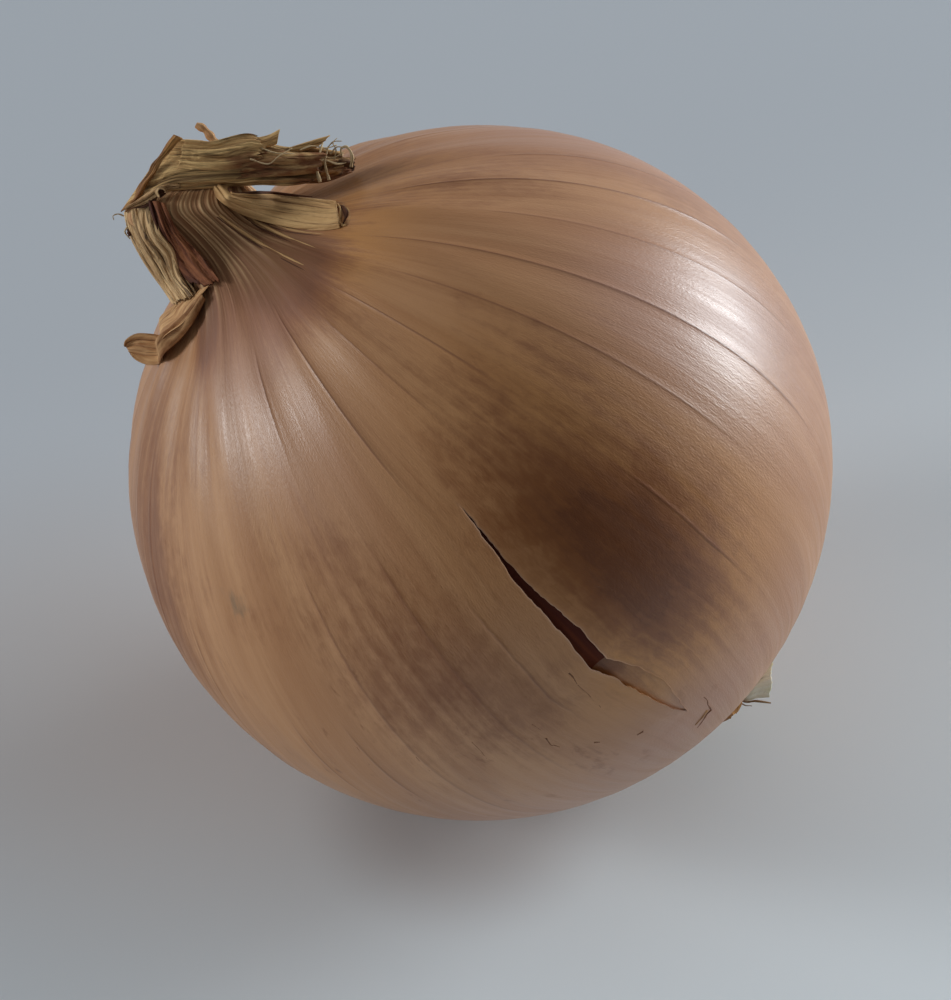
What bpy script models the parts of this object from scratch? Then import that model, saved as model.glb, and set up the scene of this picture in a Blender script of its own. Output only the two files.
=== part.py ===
# A brown onion lying on its side, neck end up and dried leaves folded over.
# The origin is the middle of the small flat spot it rests on. +Z is up, the neck leans towards -X.
# Every piece is shaped in the bulb's own frame, whose +Z runs from the root to the neck, and is then
# tilted with the bulb by one empty.

import bmesh
import bpy
from math import cos, exp, pi, radians, sin, sqrt
from mathutils import Matrix, Vector
from random import Random

MM = 0.001

# The whole onion
BULB_RADIUS = 38.0 * MM
CENTRE_HEIGHT = 37.0 * MM      # less than the radius, so the skin is pressed flat where it rests
NECK_RISE = radians(48)        # how far the neck points up from the horizon
GAP = 0.35 * MM                # kept between pieces that touch

# Outer skin, from the neck's mouth down to the root
SKIN_THICKNESS = 0.6 * MM
MOUTH_LATITUDE = 6.0           # degrees from the neck end, a name for places along the meridian
SHOULDER_LATITUDE = 21.0       # below this the meridian is a plain circle
ROOT_LATITUDE = 169.5
MOUTH_RADIUS = 4.9 * MM
MOUTH_HEIGHT = 43.5 * MM       # above the bulb's centre
MOUTH_SLANT = 3.2 * MM         # the mouth is higher on the left than on the right
MOUTH_FRONT = 2.2 * MM         # and higher in front than behind
THROAT_HEIGHT = 38.6 * MM      # the neck's wall starts to spread here
THROAT_RADIUS = 4.5 * MM
SHOULDER_EASE = 5.0 * MM       # how far the shoulder's slope runs on into the neck
NECK_FLAT_DIRECTION = radians(17)
NECK_LONG = 1.12
NECK_SHORT = 0.78
SKIN_COLUMNS = 72
NECK_ROWS = 8
BODY_ROWS = 18                 # puts a row near the middle of the flat spot
GATHERS = 8                    # deep folds round the neck, which fade over the shoulder
GATHER_DEPTH = 0.35 * MM
UNEVEN = 0.5                   # shifts the gathers, so that they are not evenly spaced
GATHER_ENDS = (14, 48)
RIDGES = 24
RIDGE_STARTS = (12, 26)
RIDGE_ENDS = (30, 80)
RIDGE_DEPTH = 0.12 * MM

# The split in the skin, along one meridian
SPLIT_DIRECTION = radians(-54.5)
SPLIT_TOP = 62.5               # just below a row, which is the last closed one
SPLIT_BOTTOM = 124.0
SPLIT_WIDTH = 2.2 * MM
LIP_LIFT = 0.8 * MM            # the lower lip curls up off the bulb
LIP_REACH = 4.0 * MM

# The bulb inside the skin
BULB_CLEARANCE = SKIN_THICKNESS + GAP + 0.25 * MM
BULB_COLUMNS = 40
BULB_ROWS = 22
BULB_NECK_TOP = 40.4 * MM
BULB_NECK_RADIUS = 3.5 * MM
BULB_ROOT_FLAT = -35.3 * MM    # where the root plate sits

# Root plate and rootlets
PLATE_RADIUS = 6.2 * MM
PLATE_THICKNESS = 1.6 * MM
ROOTLET_COUNT = 22
ROOTLET_RADIUS = 0.55 * MM
ROOTLET_TAPER = 0.45
ROOTLET_LENGTH = (3.6 * MM, 6.4 * MM)
TUFT_RADIUS = 4.1 * MM
TUFT_SPREAD = 0.42             # how far the rootlets lean out, and all of them to the right
GOLDEN_ANGLE = 2.4

UP_IN_BULB = Vector((cos(NECK_RISE), 0.0, sin(NECK_RISE)))


def make_material(name, colour, roughness):
    material = bpy.data.materials.new(name)
    material.use_nodes = True
    shader = material.node_tree.nodes["Principled BSDF"]
    shader.inputs["Base Color"].default_value = (*colour, 1.0)
    shader.inputs["Roughness"].default_value = roughness
    shader.inputs["Metallic"].default_value = 0.0
    material.diffuse_color = (*colour, 1.0)
    return material


# Meshes

def grid_mesh(columns, rows, place):
    # A flat grid bent into shape by place(u, v), with u and v from 0 to 1.
    bm = bmesh.new()
    bmesh.ops.create_grid(bm, x_segments=columns, y_segments=rows, size=0.5)
    for vert in bm.verts:
        vert.co = place(vert.co.x + 0.5, vert.co.y + 0.5)
    return bm


def weld(bm):
    bmesh.ops.remove_doubles(bm, verts=bm.verts, dist=0.002 * MM)
    bmesh.ops.dissolve_degenerate(bm, edges=bm.edges, dist=0.001 * MM)


def close_ends(bm):
    open_edges = [edge for edge in bm.edges if edge.is_boundary]
    bmesh.ops.holes_fill(bm, edges=open_edges, sides=0)
    bmesh.ops.triangulate(bm, faces=[face for face in bm.faces if len(face.verts) > 4])
    bmesh.ops.recalc_face_normals(bm, faces=bm.faces)


def add_object(name, bm, material):
    mesh = bpy.data.meshes.new(name)
    bm.to_mesh(mesh)
    bm.free()
    mesh.materials.append(material)
    mesh.shade_smooth()
    piece = bpy.data.objects.new(name, mesh)
    onion.objects.link(piece)
    piece.parent = bulb_axis
    return piece


def thicken(piece, thickness, offset):
    solidify = piece.modifiers.new("Thickness", "SOLIDIFY")
    solidify.thickness = thickness
    solidify.offset = offset


# Shape of the outer skin

def ease(low, high, value):
    x = min(1.0, max(0.0, (value - low) / (high - low)))
    return x * x * (3 - 2 * x)


def mouth_height(direction):
    turned = direction - NECK_FLAT_DIRECTION
    return MOUTH_HEIGHT - MOUTH_SLANT * cos(turned) - MOUTH_FRONT * sin(turned)


def meridian(direction, latitude):
    # Distance from the bulb's axis and height on it, on the smooth skin.
    if latitude >= SHOULDER_LATITUDE:
        angle = radians(latitude)
        return BULB_RADIUS * sin(angle), BULB_RADIUS * cos(angle)
    angle = radians(SHOULDER_LATITUDE)
    mouth = Vector((MOUTH_RADIUS, mouth_height(direction)))
    throat = Vector((THROAT_RADIUS, THROAT_HEIGHT))
    shoulder = Vector((BULB_RADIUS * sin(angle), BULB_RADIUS * cos(angle)))
    tangent = Vector((-cos(angle), sin(angle)))
    t = (latitude - MOUTH_LATITUDE) / (SHOULDER_LATITUDE - MOUTH_LATITUDE)
    s = 1 - t
    point = s**3 * mouth + 3 * s * s * t * throat
    point += 3 * s * t * t * (shoulder + SHOULDER_EASE * tangent) + t**3 * shoulder
    return point.x, point.y


def relief(direction, latitude):
    # Unevenly spaced gathers at the neck, and low ridges that run on over the shoulder.
    gather = GATHER_DEPTH * (1 - ease(*GATHER_ENDS, latitude))
    ridge = RIDGE_DEPTH * ease(*RIDGE_STARTS, latitude) * (1 - ease(*RIDGE_ENDS, latitude))
    wave = cos(GATHERS * direction + UNEVEN * sin(2 * direction))
    return gather * wave + ridge * cos(RIDGES * direction + 0.5)


def pressed_flat(point, height):
    # Lifts a point of the bulb's frame that would lie below this height over the table.
    above = point.dot(UP_IN_BULB) + CENTRE_HEIGHT - height
    return point - UP_IN_BULB * above if above < 0 else point


def skin_point(direction, latitude, lift=0.0):
    # A point of the skin's outer side, raised by lift. The neck is flatter than it is wide.
    radius, height = meridian(direction, latitude)
    outward = Vector((radius, height)).normalized()
    out = relief(direction, latitude) + lift
    radius += outward.x * out + (1 - ease(10, 20, latitude)) * out * (1 - outward.x)
    height += outward.y * out * ease(8, 20, latitude)
    flatness = 1 - ease(8, 24, latitude)
    along = radius * cos(direction - NECK_FLAT_DIRECTION) * (1 + flatness * (NECK_LONG - 1))
    across = radius * sin(direction - NECK_FLAT_DIRECTION) * (1 + flatness * (NECK_SHORT - 1))
    turn = Matrix.Rotation(NECK_FLAT_DIRECTION, 3, "Z")
    return turn @ Vector((along, across, height))


def skin_latitude(v):
    # v runs from 0 at the root to 1 at the mouth, with closer rows at the neck.
    row = round(v * (NECK_ROWS + BODY_ROWS))
    if row <= BODY_ROWS:
        return ROOT_LATITUDE + (SHOULDER_LATITUDE - ROOT_LATITUDE) * row / BODY_ROWS
    return SHOULDER_LATITUDE + (MOUTH_LATITUDE - SHOULDER_LATITUDE) * (row - BODY_ROWS) / NECK_ROWS


def split_opening(latitude):
    # 0 at the two ends of the split, 1 where it is widest.
    along = (latitude - SPLIT_TOP) / (SPLIT_BOTTOM - SPLIT_TOP)
    return sin(pi * along**1.3) if 0 < along < 1 else 0.0


def split_skin_point(u, v):
    # u runs once round the bulb, from the upper lip of the split to the lower one.
    latitude = skin_latitude(v)
    opening = split_opening(latitude)
    half_angle = 0.5 * SPLIT_WIDTH * opening / (BULB_RADIUS * sin(radians(latitude)))
    direction = SPLIT_DIRECTION + half_angle + u * 2 * (pi - half_angle)
    from_lower_lip = (1 - u) * 2 * pi * BULB_RADIUS
    lift = LIP_LIFT * opening * exp(-from_lower_lip / LIP_REACH)
    return pressed_flat(skin_point(direction, latitude, lift), 0.0)


def make_skin():
    bm = grid_mesh(SKIN_COLUMNS, NECK_ROWS + BODY_ROWS, split_skin_point)
    weld(bm)
    skin = add_object("outer_skin", bm, papery_skin)
    thicken(skin, SKIN_THICKNESS, -1.0)


# The bulb under the skin, closed at both ends

def bulb_point(u, v):
    direction = 2 * pi * u
    angle = pi * (1 - v)
    inner_radius = BULB_RADIUS - BULB_CLEARANCE
    distance = inner_radius * sin(angle)
    height = max(BULB_ROOT_FLAT, inner_radius * cos(angle))
    if height > 0:
        height += (BULB_NECK_TOP - inner_radius) * exp(-((distance / BULB_NECK_RADIUS) ** 2))
    point = Vector((distance * cos(direction), distance * sin(direction), height))
    return pressed_flat(point, SKIN_THICKNESS + GAP)


def make_bulb():
    bm = grid_mesh(BULB_COLUMNS, BULB_ROWS, bulb_point)
    weld(bm)
    add_object("bulb", bm, fresh_scale)


# The dried neck: a flattened bundle of leaves that comes out of the mouth, turns over in its own
# plane and lies across the shoulder with a torn end

FLAT_ALONG = Vector((cos(NECK_FLAT_DIRECTION), sin(NECK_FLAT_DIRECTION), 0.0))
FLAT_ACROSS = Vector((-sin(NECK_FLAT_DIRECTION), cos(NECK_FLAT_DIRECTION), 0.0))
FOLD_PIVOT = Vector((0.3, 0.1, 46.3)) * MM
FOLD_INNER = 0.4 * MM          # radius of the turn's inner side
FOLD_TURN = radians(130)
FOLD_SPREAD = radians(95)      # the bundle is at its full width this far round the turn
FOLD_COLUMNS = 30
PLUG_HALF_WIDTH = 1.45 * MM    # where the bundle stands in the mouth
PLUG_DEPTH = 5.0 * MM
FOLD_HALF_WIDTH = 3.0 * MM
FOLD_HALF_THICKNESS = 1.6 * MM
FOLD_REACH = 15.0 * MM
FOLD_DRIFT = 2.4 * MM          # sideways, towards the back
FOLD_TAPER = 0.25
TORN_END = 1.6 * MM
PLUG_ROWS = 3
TURN_ROWS = 7
BAND_ROWS = 10
FOLD_ROWS = PLUG_ROWS + TURN_ROWS + BAND_ROWS


def fold_frame(row):
    # Centre, direction of travel, outward side and half width of the bundle at a row.
    if row <= PLUG_ROWS:
        turn = 0.0
        sink = PLUG_DEPTH * (1 - row / PLUG_ROWS)
    else:
        turn = FOLD_TURN * min(1.0, (row - PLUG_ROWS) / TURN_ROWS)
        sink = 0.0
    travel = Vector((0, 0, cos(turn))) + sin(turn) * FLAT_ALONG
    outward = Vector((0, 0, sin(turn))) - cos(turn) * FLAT_ALONG
    along = max(0.0, (row - PLUG_ROWS - TURN_ROWS) / BAND_ROWS)
    half_width = PLUG_HALF_WIDTH + (FOLD_HALF_WIDTH - PLUG_HALF_WIDTH) * ease(0.0, FOLD_SPREAD, turn)
    half_width *= 1 - FOLD_TAPER * along
    centre = FOLD_PIVOT + (FOLD_INNER + half_width) * outward - Vector((0, 0, sink))
    centre += along * FOLD_REACH * travel + along**1.5 * FOLD_DRIFT * FLAT_ACROSS
    return centre, travel, outward, half_width, along


def fold_point(u, v):
    # u runs round the flattened bundle, whose ribs twist a little along it.
    centre, travel, outward, half_width, along = fold_frame(round(v * FOLD_ROWS))
    angle = 2 * pi * u
    ribs = 1 + 0.10 * cos(7 * angle + 2 * along) + 0.06 * cos(5 * angle + 1.0)
    wide = half_width * ribs * cos(angle)
    thick = FOLD_HALF_THICKNESS * ribs * (1 - FOLD_TAPER * along / 2) * sin(angle)
    torn = TORN_END * ease(0.75, 1.0, along) * cos(4 * angle + 0.6)
    return centre + wide * outward - thick * FLAT_ACROSS + torn * travel


def make_fold():
    bm = grid_mesh(FOLD_COLUMNS, FOLD_ROWS, fold_point)
    weld(bm)
    close_ends(bm)
    add_object("neck_fold", bm, dried_leaf)


# Leaves that lie against the skin. Each follows a route of (direction, latitude) stops in degrees,
# at heights over the skin in millimetres, and is laid out by how wide and how raised it is there.

LEAF_THICKNESS = 0.6 * MM
LEAF_COLUMNS = 8
LEAF_ROWS = 12
LYING = 0.95                   # height of a leaf's middle where it lies on the skin
LEAF_ARCH = 0.2 * MM


def along_route(route, t):
    # A smooth curve through the stops.
    place = t * (len(route) - 1)
    index = min(int(place), len(route) - 2)
    f = place - index
    before = Vector(route[max(index - 1, 0)])
    start = Vector(route[index])
    end = Vector(route[index + 1])
    after = Vector(route[min(index + 2, len(route) - 1)])
    return 0.5 * (
        2 * start
        + (end - before) * f
        + (2 * before - 5 * start + 4 * end - after) * f * f
        + (3 * start - before - 3 * end + after) * f**3
    )


def arched(t, across):
    return LEAF_ARCH * (1 + cos(pi * across))


def make_leaf(name, route, half_width, raised, material):
    def leaf_point(u, v):
        direction, latitude, height = along_route(route, v)
        across = 2 * u - 1
        distance, _ = meridian(radians(direction), latitude)
        spread = across * half_width(v) / distance
        lift = height * MM + raised(v, across)
        return skin_point(radians(direction) + spread, latitude, lift)

    bm = grid_mesh(LEAF_COLUMNS, LEAF_ROWS, leaf_point)
    leaf = add_object(name, bm, material)
    thicken(leaf, LEAF_THICKNESS, 0.0)


def make_neck_strand():
    # Covers the left side of the neck, from the turn of the fold down to the shoulder.
    route = [
        (-168, 7.0, LYING),
        (-158, 8.7, LYING),
        (-146, 10.5, LYING),
        (-132, 12.5, LYING),
        (-120, 14.0, LYING),
    ]
    make_leaf("neck_strand", route, lambda t: (1.3 + 0.5 * sin(pi * t)) * MM, arched, dried_leaf)


def make_shoulder_leaf():
    # Lies on the shoulder under the fold and hooks up at its end.
    route = [
        (24, 12.6, LYING),
        (15, 14.6, LYING),
        (8, 16.6, LYING),
        (2, 18.8, LYING),
        (-3, 21.0, 1.0),
        (-5, 23.0, 1.7),
    ]
    make_leaf("shoulder_leaf", route, lambda t: (1.2 + 0.4 * sin(pi * t)) * MM, arched, dried_leaf)


def make_peeled_strip():
    # Torn from the skin beside the neck, curled away from it and turned up at the edges.
    route = [
        (-88, 15.0, 1.0),
        (-108, 17.0, 1.1),
        (-130, 19.4, 1.3),
        (-150, 22.5, 1.8),
        (-161, 26.0, 2.6),
        (-167, 28.8, 3.6),
    ]
    make_leaf(
        "peeled_strip",
        route,
        lambda t: (0.8 + 1.6 * ease(0.0, 0.6, t)) * MM,
        lambda t, across: 1.2 * MM * t * t * across * across,
        papery_skin,
    )


# The root plate with its tuft of dried rootlets

def tapered_rootlet(start, end):
    bm = bmesh.new()
    length = (end - start).length
    tip = ROOTLET_TAPER * ROOTLET_RADIUS
    bmesh.ops.create_cone(
        bm, cap_ends=True, segments=5, radius1=ROOTLET_RADIUS, radius2=tip, depth=length
    )
    turn = (end - start).to_track_quat("Z", "Y").to_matrix().to_4x4()
    bm.transform(Matrix.Translation((start + end) / 2) @ turn)
    mesh = bpy.data.meshes.new("rootlet")
    bm.to_mesh(mesh)
    bm.free()
    return bpy.data.objects.new("rootlet", mesh)


def make_root():
    bm = bmesh.new()
    bmesh.ops.create_cone(
        bm, cap_ends=True, segments=24, radius1=0.75 * PLATE_RADIUS, radius2=PLATE_RADIUS,
        depth=PLATE_THICKNESS,
    )
    plate_middle = BULB_ROOT_FLAT - GAP - PLATE_THICKNESS / 2
    bmesh.ops.translate(bm, verts=bm.verts, vec=(0, 0, plate_middle))
    plate = add_object("root_plate", bm, dried_root)
    draw = Random(7)
    tuft = bpy.data.collections.new("rootlets")
    bpy.context.scene.collection.children.link(tuft)
    for index in range(ROOTLET_COUNT):
        direction = index * GOLDEN_ANGLE
        reach = TUFT_RADIUS * sqrt((index + 0.5) / ROOTLET_COUNT)
        length = draw.uniform(*ROOTLET_LENGTH)
        around = Vector((cos(direction), sin(direction), 0))
        start = reach * around + Vector((0, 0, plate_middle))
        lean = (TUFT_SPREAD * around + Vector((TUFT_SPREAD, 0, -1))).normalized()
        end = start + lean * (length + PLATE_THICKNESS / 2)
        rootlet = tapered_rootlet(start, end)
        rootlet.parent = bulb_axis
        tuft.objects.link(rootlet)
    union = plate.modifiers.new("Rootlets", "BOOLEAN")
    union.operation = "UNION"
    union.operand_type = "COLLECTION"
    union.collection = tuft
    bpy.context.view_layer.update()
    graph = bpy.context.evaluated_depsgraph_get()
    joined = bpy.data.meshes.new_from_object(plate.evaluated_get(graph))
    plate.modifiers.clear()
    plate.data = joined
    for rootlet in list(tuft.objects):
        bpy.data.objects.remove(rootlet)
    bpy.data.collections.remove(tuft)


for leftover in list(bpy.data.objects):
    bpy.data.objects.remove(leftover)

onion = bpy.data.collections.new("onion")
bpy.context.scene.collection.children.link(onion)

bulb_axis = bpy.data.objects.new("bulb_axis", None)
bulb_axis.location = (0, 0, CENTRE_HEIGHT)
bulb_axis.rotation_euler = (0, -(pi / 2 - NECK_RISE), 0)
onion.objects.link(bulb_axis)

papery_skin = make_material("papery_skin", (0.42, 0.24, 0.13), 0.42)
fresh_scale = make_material("fresh_scale", (0.36, 0.19, 0.09), 0.5)
dried_leaf = make_material("dried_leaf", (0.33, 0.22, 0.11), 0.8)
dried_root = make_material("dried_root", (0.55, 0.44, 0.27), 0.85)

make_bulb()
make_skin()
make_fold()
make_neck_strand()
make_shoulder_leaf()
make_peeled_strip()
make_root()
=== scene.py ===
# A brown onion lying on its side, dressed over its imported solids.
# Everything is shaped in millimetres in the bulb's own frame, whose +Z runs from the root to the neck,
# and placeInScene then tilts it and scales it to metres.

from math import cos, pi, radians, sin
from random import Random

import bmesh
import bpy
import numpy as np
from mathutils import Matrix, Vector
from mathutils.bvhtree import BVHTree


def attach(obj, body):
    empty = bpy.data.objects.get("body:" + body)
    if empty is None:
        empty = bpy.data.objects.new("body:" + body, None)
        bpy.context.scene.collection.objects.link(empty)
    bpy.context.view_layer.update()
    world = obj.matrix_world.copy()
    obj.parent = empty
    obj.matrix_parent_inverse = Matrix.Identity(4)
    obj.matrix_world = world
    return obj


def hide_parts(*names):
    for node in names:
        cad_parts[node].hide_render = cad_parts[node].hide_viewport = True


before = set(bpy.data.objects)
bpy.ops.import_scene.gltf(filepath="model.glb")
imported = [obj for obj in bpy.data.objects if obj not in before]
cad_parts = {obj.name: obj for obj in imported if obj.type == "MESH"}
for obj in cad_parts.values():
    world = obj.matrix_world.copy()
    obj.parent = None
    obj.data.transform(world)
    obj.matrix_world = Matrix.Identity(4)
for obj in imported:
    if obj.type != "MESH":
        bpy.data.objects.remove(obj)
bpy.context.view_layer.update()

mm = 0.001

bulb = {
    "radius": 38.0,
    "centreHeight": 37.0,      # a little under the radius, as the skin is pressed flat where it rests
    "neckRise": 48.0,          # degrees above the horizon
}
tilt = Matrix.Rotation(-radians(90 - bulb["neckRise"]), 4, "Y")
placeInScene = Matrix.Translation((0, 0, bulb["centreHeight"] * mm)) @ tilt @ Matrix.Scale(mm, 4)
upInBulb = np.array([cos(radians(bulb["neckRise"])), 0.0, sin(radians(bulb["neckRise"]))])


# Camera, light and floor

view = {
    "azimuth": 13.0,
    "elevation": 48.0,
    "distance": 320.0,
    "lens": 105.35,
    "aside": -0.38,            # the onion isn't quite in the middle of the picture
    "down": -3.17,
}
lamps = {
    # from: direction and elevation in degrees
    "window": {"from": (44.0, 13.0), "distance": 1.2, "size": (0.66, 0.36), "power": 13.0,
               "colour": (0.90, 0.96, 1.0)},
    "roomSide": {"from": (194.0, 18.0), "distance": 1.5, "size": (0.38, 0.42), "power": 9.5,
                 "colour": (0.92, 0.97, 1.0)},
}
room = {
    "colour": (0.355, 0.372, 0.392),
    "strength": 0.84,
    "darkSide": (0.62, -0.76, 0.20),     # the room is darker towards this way
    "darkReach": (0.25, 0.95),
    "darkTo": 0.25,
}
table = {
    "size": 4.0,
    # painted light: the floor's colour grows paler towards the front, standing in for light that falls
    # brighter there
    "colour": (0.568, 0.604, 0.645),      # behind the onion
    "nearColour": (0.92, 0.975, 1.0),    # and paler in front of it
    "turn": 36.0,                        # degrees between the fade and the Y axis
    "fade": (0.085, -0.085),             # metres along the floor between the two
    # painted shadows, left of the onion and under its front: middle, reach and what is left of the colour
    "paintedShadows": [((-0.050, -0.012, 0.0), (0.045, 0.008), (0.90, 0.83, 0.79)),
             ((0.002, -0.018, 0.0), (0.020, 0.007), (0.77, 0.72, 0.70))],
    "roughness": 0.6,
}


def addCamera():
    data = bpy.data.cameras.new("camera")
    data.lens = view["lens"]
    data.clip_start = 0.01
    data.clip_end = 20
    camera = bpy.data.objects.new("camera", data)
    camera.rotation_euler = (radians(90 - view["elevation"]), 0, radians(view["azimuth"]))
    turn = camera.rotation_euler.to_matrix()
    offset = turn @ Vector((view["aside"], view["down"], view["distance"]))
    camera.location = Vector((0, 0, bulb["centreHeight"] * mm)) + offset * mm
    bpy.context.scene.collection.objects.link(camera)
    bpy.context.scene.camera = camera


def viewAxes():
    # The picture's right, up and towards-the-camera directions, in the bulb's frame.
    around = radians(view["azimuth"])
    above = radians(view["elevation"])
    right = Vector((cos(around), sin(around), 0))
    towards = Vector((sin(around) * cos(above), -cos(around) * cos(above), sin(above)))
    turned = tilt.to_3x3().inverted()
    return [np.array(turned @ axis) for axis in (right, towards.cross(right), towards)]


pictureRight, pictureUp, pictureToward = viewAxes()
picture = {"width": 951, "height": 1000, "sensor": 36}    # pixels, pixels and millimetres
pictureFocal = view["lens"] / picture["sensor"] * picture["height"]


def fromPicture(x, y, toward):
    # The place in the bulb's frame that shows at (x, y) of the picture, that far in front of its centre.
    reach = (view["distance"] - toward) / pictureFocal
    across = (x - picture["width"] / 2) * reach + view["aside"]
    upward = (picture["height"] / 2 - y) * reach + view["down"]
    return across * pictureRight + upward * pictureUp + toward * pictureToward


def addSoftLight(name, look):
    data = bpy.data.lights.new(name, "AREA")
    data.shape = "RECTANGLE"
    data.size, data.size_y = look["size"]
    data.energy = look["power"]
    data.color = look["colour"]
    lamp = bpy.data.objects.new(name, data)
    around, above = np.radians(look["from"])
    away = Vector((cos(around) * cos(above), sin(around) * cos(above), sin(above)))
    lamp.location = away * look["distance"]
    lamp.rotation_euler = away.to_track_quat("Z", "Y").to_euler()
    bpy.context.scene.collection.objects.link(lamp)


def addRoom():
    for name, look in lamps.items():
        addSoftLight(name, look)
    world = bpy.data.worlds.new("room")
    world.use_nodes = True
    background = world.node_tree.nodes["Background"]
    nodes = Nodes(world.node_tree)
    turned = nodes.add("ShaderNodeVectorMath", operation="DOT_PRODUCT")
    nodes.feed(turned.inputs[0], nodes.add("ShaderNodeTexCoord").outputs["Generated"])
    turned.inputs[1].default_value = Vector(room["darkSide"]).normalized()
    darkness = nodes.spread(turned.outputs["Value"], *room["darkReach"])
    darkColour = [room["darkTo"] * part for part in room["colour"]]
    nodes.feed(background.inputs["Color"], nodes.lay(darkness, (*room["colour"], 1), darkColour))
    background.inputs["Strength"].default_value = room["strength"]
    bpy.context.scene.world = world
    bpy.context.scene.view_settings.view_transform = "Standard"


# Node helpers and the shared groups

socketKinds = {"value": "NodeSocketFloat", "vector": "NodeSocketVector", "colour": "NodeSocketColor"}


class Nodes:
    # A short way to add and join the nodes of one tree.
    def __init__(self, tree):
        self.tree = tree
        self.column = 0

    def add(self, kind, inputs=None, **settings):
        made = self.tree.nodes.new(kind)
        made.location = (self.column * 190, -(self.column % 4) * 150)
        self.column += 1
        for key, value in settings.items():
            setattr(made, key, value)
        for key, value in (inputs or {}).items():
            self.feed(made.inputs[key], value)
        return made

    def feed(self, socket, value):
        if isinstance(value, bpy.types.NodeSocket):
            self.tree.links.new(value, socket)
        else:
            socket.default_value = value

    def maths(self, operation, a, b=0.0, clamp=False):
        made = self.add("ShaderNodeMath", operation=operation, use_clamp=clamp)
        self.feed(made.inputs[0], a)
        self.feed(made.inputs[1], b)
        return made.outputs[0]

    def spread(self, value, low, high, toLow=0.0, toHigh=1.0):
        made = self.add("ShaderNodeMapRange", {"Value": value, "From Min": low, "From Max": high,
                                               "To Min": toLow, "To Max": toHigh},
                        interpolation_type="SMOOTHSTEP")
        return made.outputs["Result"]

    def mixColour(self, factor, a, b, blend="MIX"):
        made = self.add("ShaderNodeMix", data_type="RGBA", blend_type=blend)
        self.feed(made.inputs["Factor"], factor)
        self.feed(made.inputs[6], a)       # the mix node has one pair of inputs for each kind of data
        self.feed(made.inputs[7], b)
        return made.outputs[2]

    def lay(self, mask, under, colour, blend="MIX"):
        # A plain colour laid over what is under it, as far as the mask says.
        return self.mixColour(mask, under, (*colour, 1), blend)

    def attribute(self, name, output="Fac"):
        return self.add("ShaderNodeAttribute", attribute_name=name).outputs[output]

    def group(self, shared, inputs):
        made = self.add("ShaderNodeGroup", node_tree=shared)
        for key, value in inputs.items():
            self.feed(made.inputs[key], value)
        return made.outputs[0]

    def relief(self, shader, height, strength, distance=0.0002):
        # The distance is in metres.
        bump = self.add("ShaderNodeBump", {"Strength": strength, "Distance": distance, "Height": height})
        self.feed(shader.inputs["Normal"], bump.outputs[0])


def newGroup(name, inputs, outputs):
    # inputs and outputs are {socket name: (kind, default)} and {socket name: kind}.
    tree = bpy.data.node_groups.new(name, "ShaderNodeTree")
    for label, (kind, default) in inputs.items():
        socket = tree.interface.new_socket(label, in_out="INPUT", socket_type=socketKinds[kind])
        if default is not None:
            socket.default_value = default
    for label, kind in outputs.items():
        tree.interface.new_socket(label, in_out="OUTPUT", socket_type=socketKinds[kind])
    nodes = Nodes(tree)
    return nodes, nodes.add("NodeGroupInput").outputs, nodes.add("NodeGroupOutput").inputs


def makeStreaks():
    # Soft streaks that run along the grain, whose attribute is in millimetres (across, across, along).
    nodes, given, made = newGroup(
        "grainStreaks",
        {"Grain": ("vector", None), "Across": ("value", 1.0), "Along": ("value", 0.04),
         "Detail": ("value", 3.0), "Wander": ("value", 0.3)},
        {"Value": "value"},
    )
    stretch = nodes.add("ShaderNodeCombineXYZ", {"X": given["Across"], "Y": given["Across"],
                                                 "Z": given["Along"]})
    scaled = nodes.add("ShaderNodeVectorMath", operation="MULTIPLY")
    nodes.feed(scaled.inputs[0], given["Grain"])
    nodes.feed(scaled.inputs[1], stretch.outputs[0])
    streak = nodes.add("ShaderNodeTexNoise", {"Vector": scaled.outputs[0], "Scale": 1.0,
                                              "Detail": given["Detail"], "Roughness": 0.6,
                                              "Distortion": given["Wander"]})
    nodes.feed(made["Value"], streak.outputs["Fac"])
    return nodes.tree


def makeBlotches():
    # Cloudy patches that ignore the grain.
    nodes, given, made = newGroup(
        "blotches",
        {"Grain": ("vector", None), "Scale": ("value", 0.1), "Stretch": ("value", 0.6)},
        {"Value": "value"},
    )
    stretch = nodes.add("ShaderNodeCombineXYZ", {"X": 1.0, "Y": 1.0, "Z": given["Stretch"]})
    scaled = nodes.add("ShaderNodeVectorMath", operation="MULTIPLY")
    nodes.feed(scaled.inputs[0], given["Grain"])
    nodes.feed(scaled.inputs[1], stretch.outputs[0])
    cloud = nodes.add("ShaderNodeTexNoise", {"Vector": scaled.outputs[0], "Scale": given["Scale"],
                                             "Detail": 5.0, "Roughness": 0.62, "Distortion": 0.4})
    nodes.feed(made["Value"], cloud.outputs["Fac"])
    return nodes.tree


def makeFineRelief(streaks):
    # Height of the finest wrinkles and of the cells of a dry skin.
    nodes, given, made = newGroup(
        "fineRelief",
        {"Grain": ("vector", None), "Wrinkles": ("value", 1.0), "Cells": ("value", 0.4)},
        {"Height": "value"},
    )
    wrinkle = nodes.group(streaks, {"Grain": given["Grain"], "Across": 1.7, "Along": 0.07,
                                    "Detail": 2.0, "Wander": 0.2})
    cell = nodes.group(streaks, {"Grain": given["Grain"], "Across": 6.5, "Along": 2.2,
                                 "Detail": 1.0, "Wander": 0.0})
    wrinkles = nodes.maths("MULTIPLY", wrinkle, given["Wrinkles"])
    cells = nodes.maths("MULTIPLY", cell, given["Cells"])
    nodes.feed(made["Height"], nodes.maths("ADD", wrinkles, cells))
    return nodes.tree


streaks = makeStreaks()
blotches = makeBlotches()
fineRelief = makeFineRelief(streaks)


def newMaterial(name):
    material = bpy.data.materials.new(name)
    material.use_nodes = True
    nodes = Nodes(material.node_tree)
    shader = material.node_tree.nodes["Principled BSDF"]
    return material, nodes, shader


# Finishes

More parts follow.
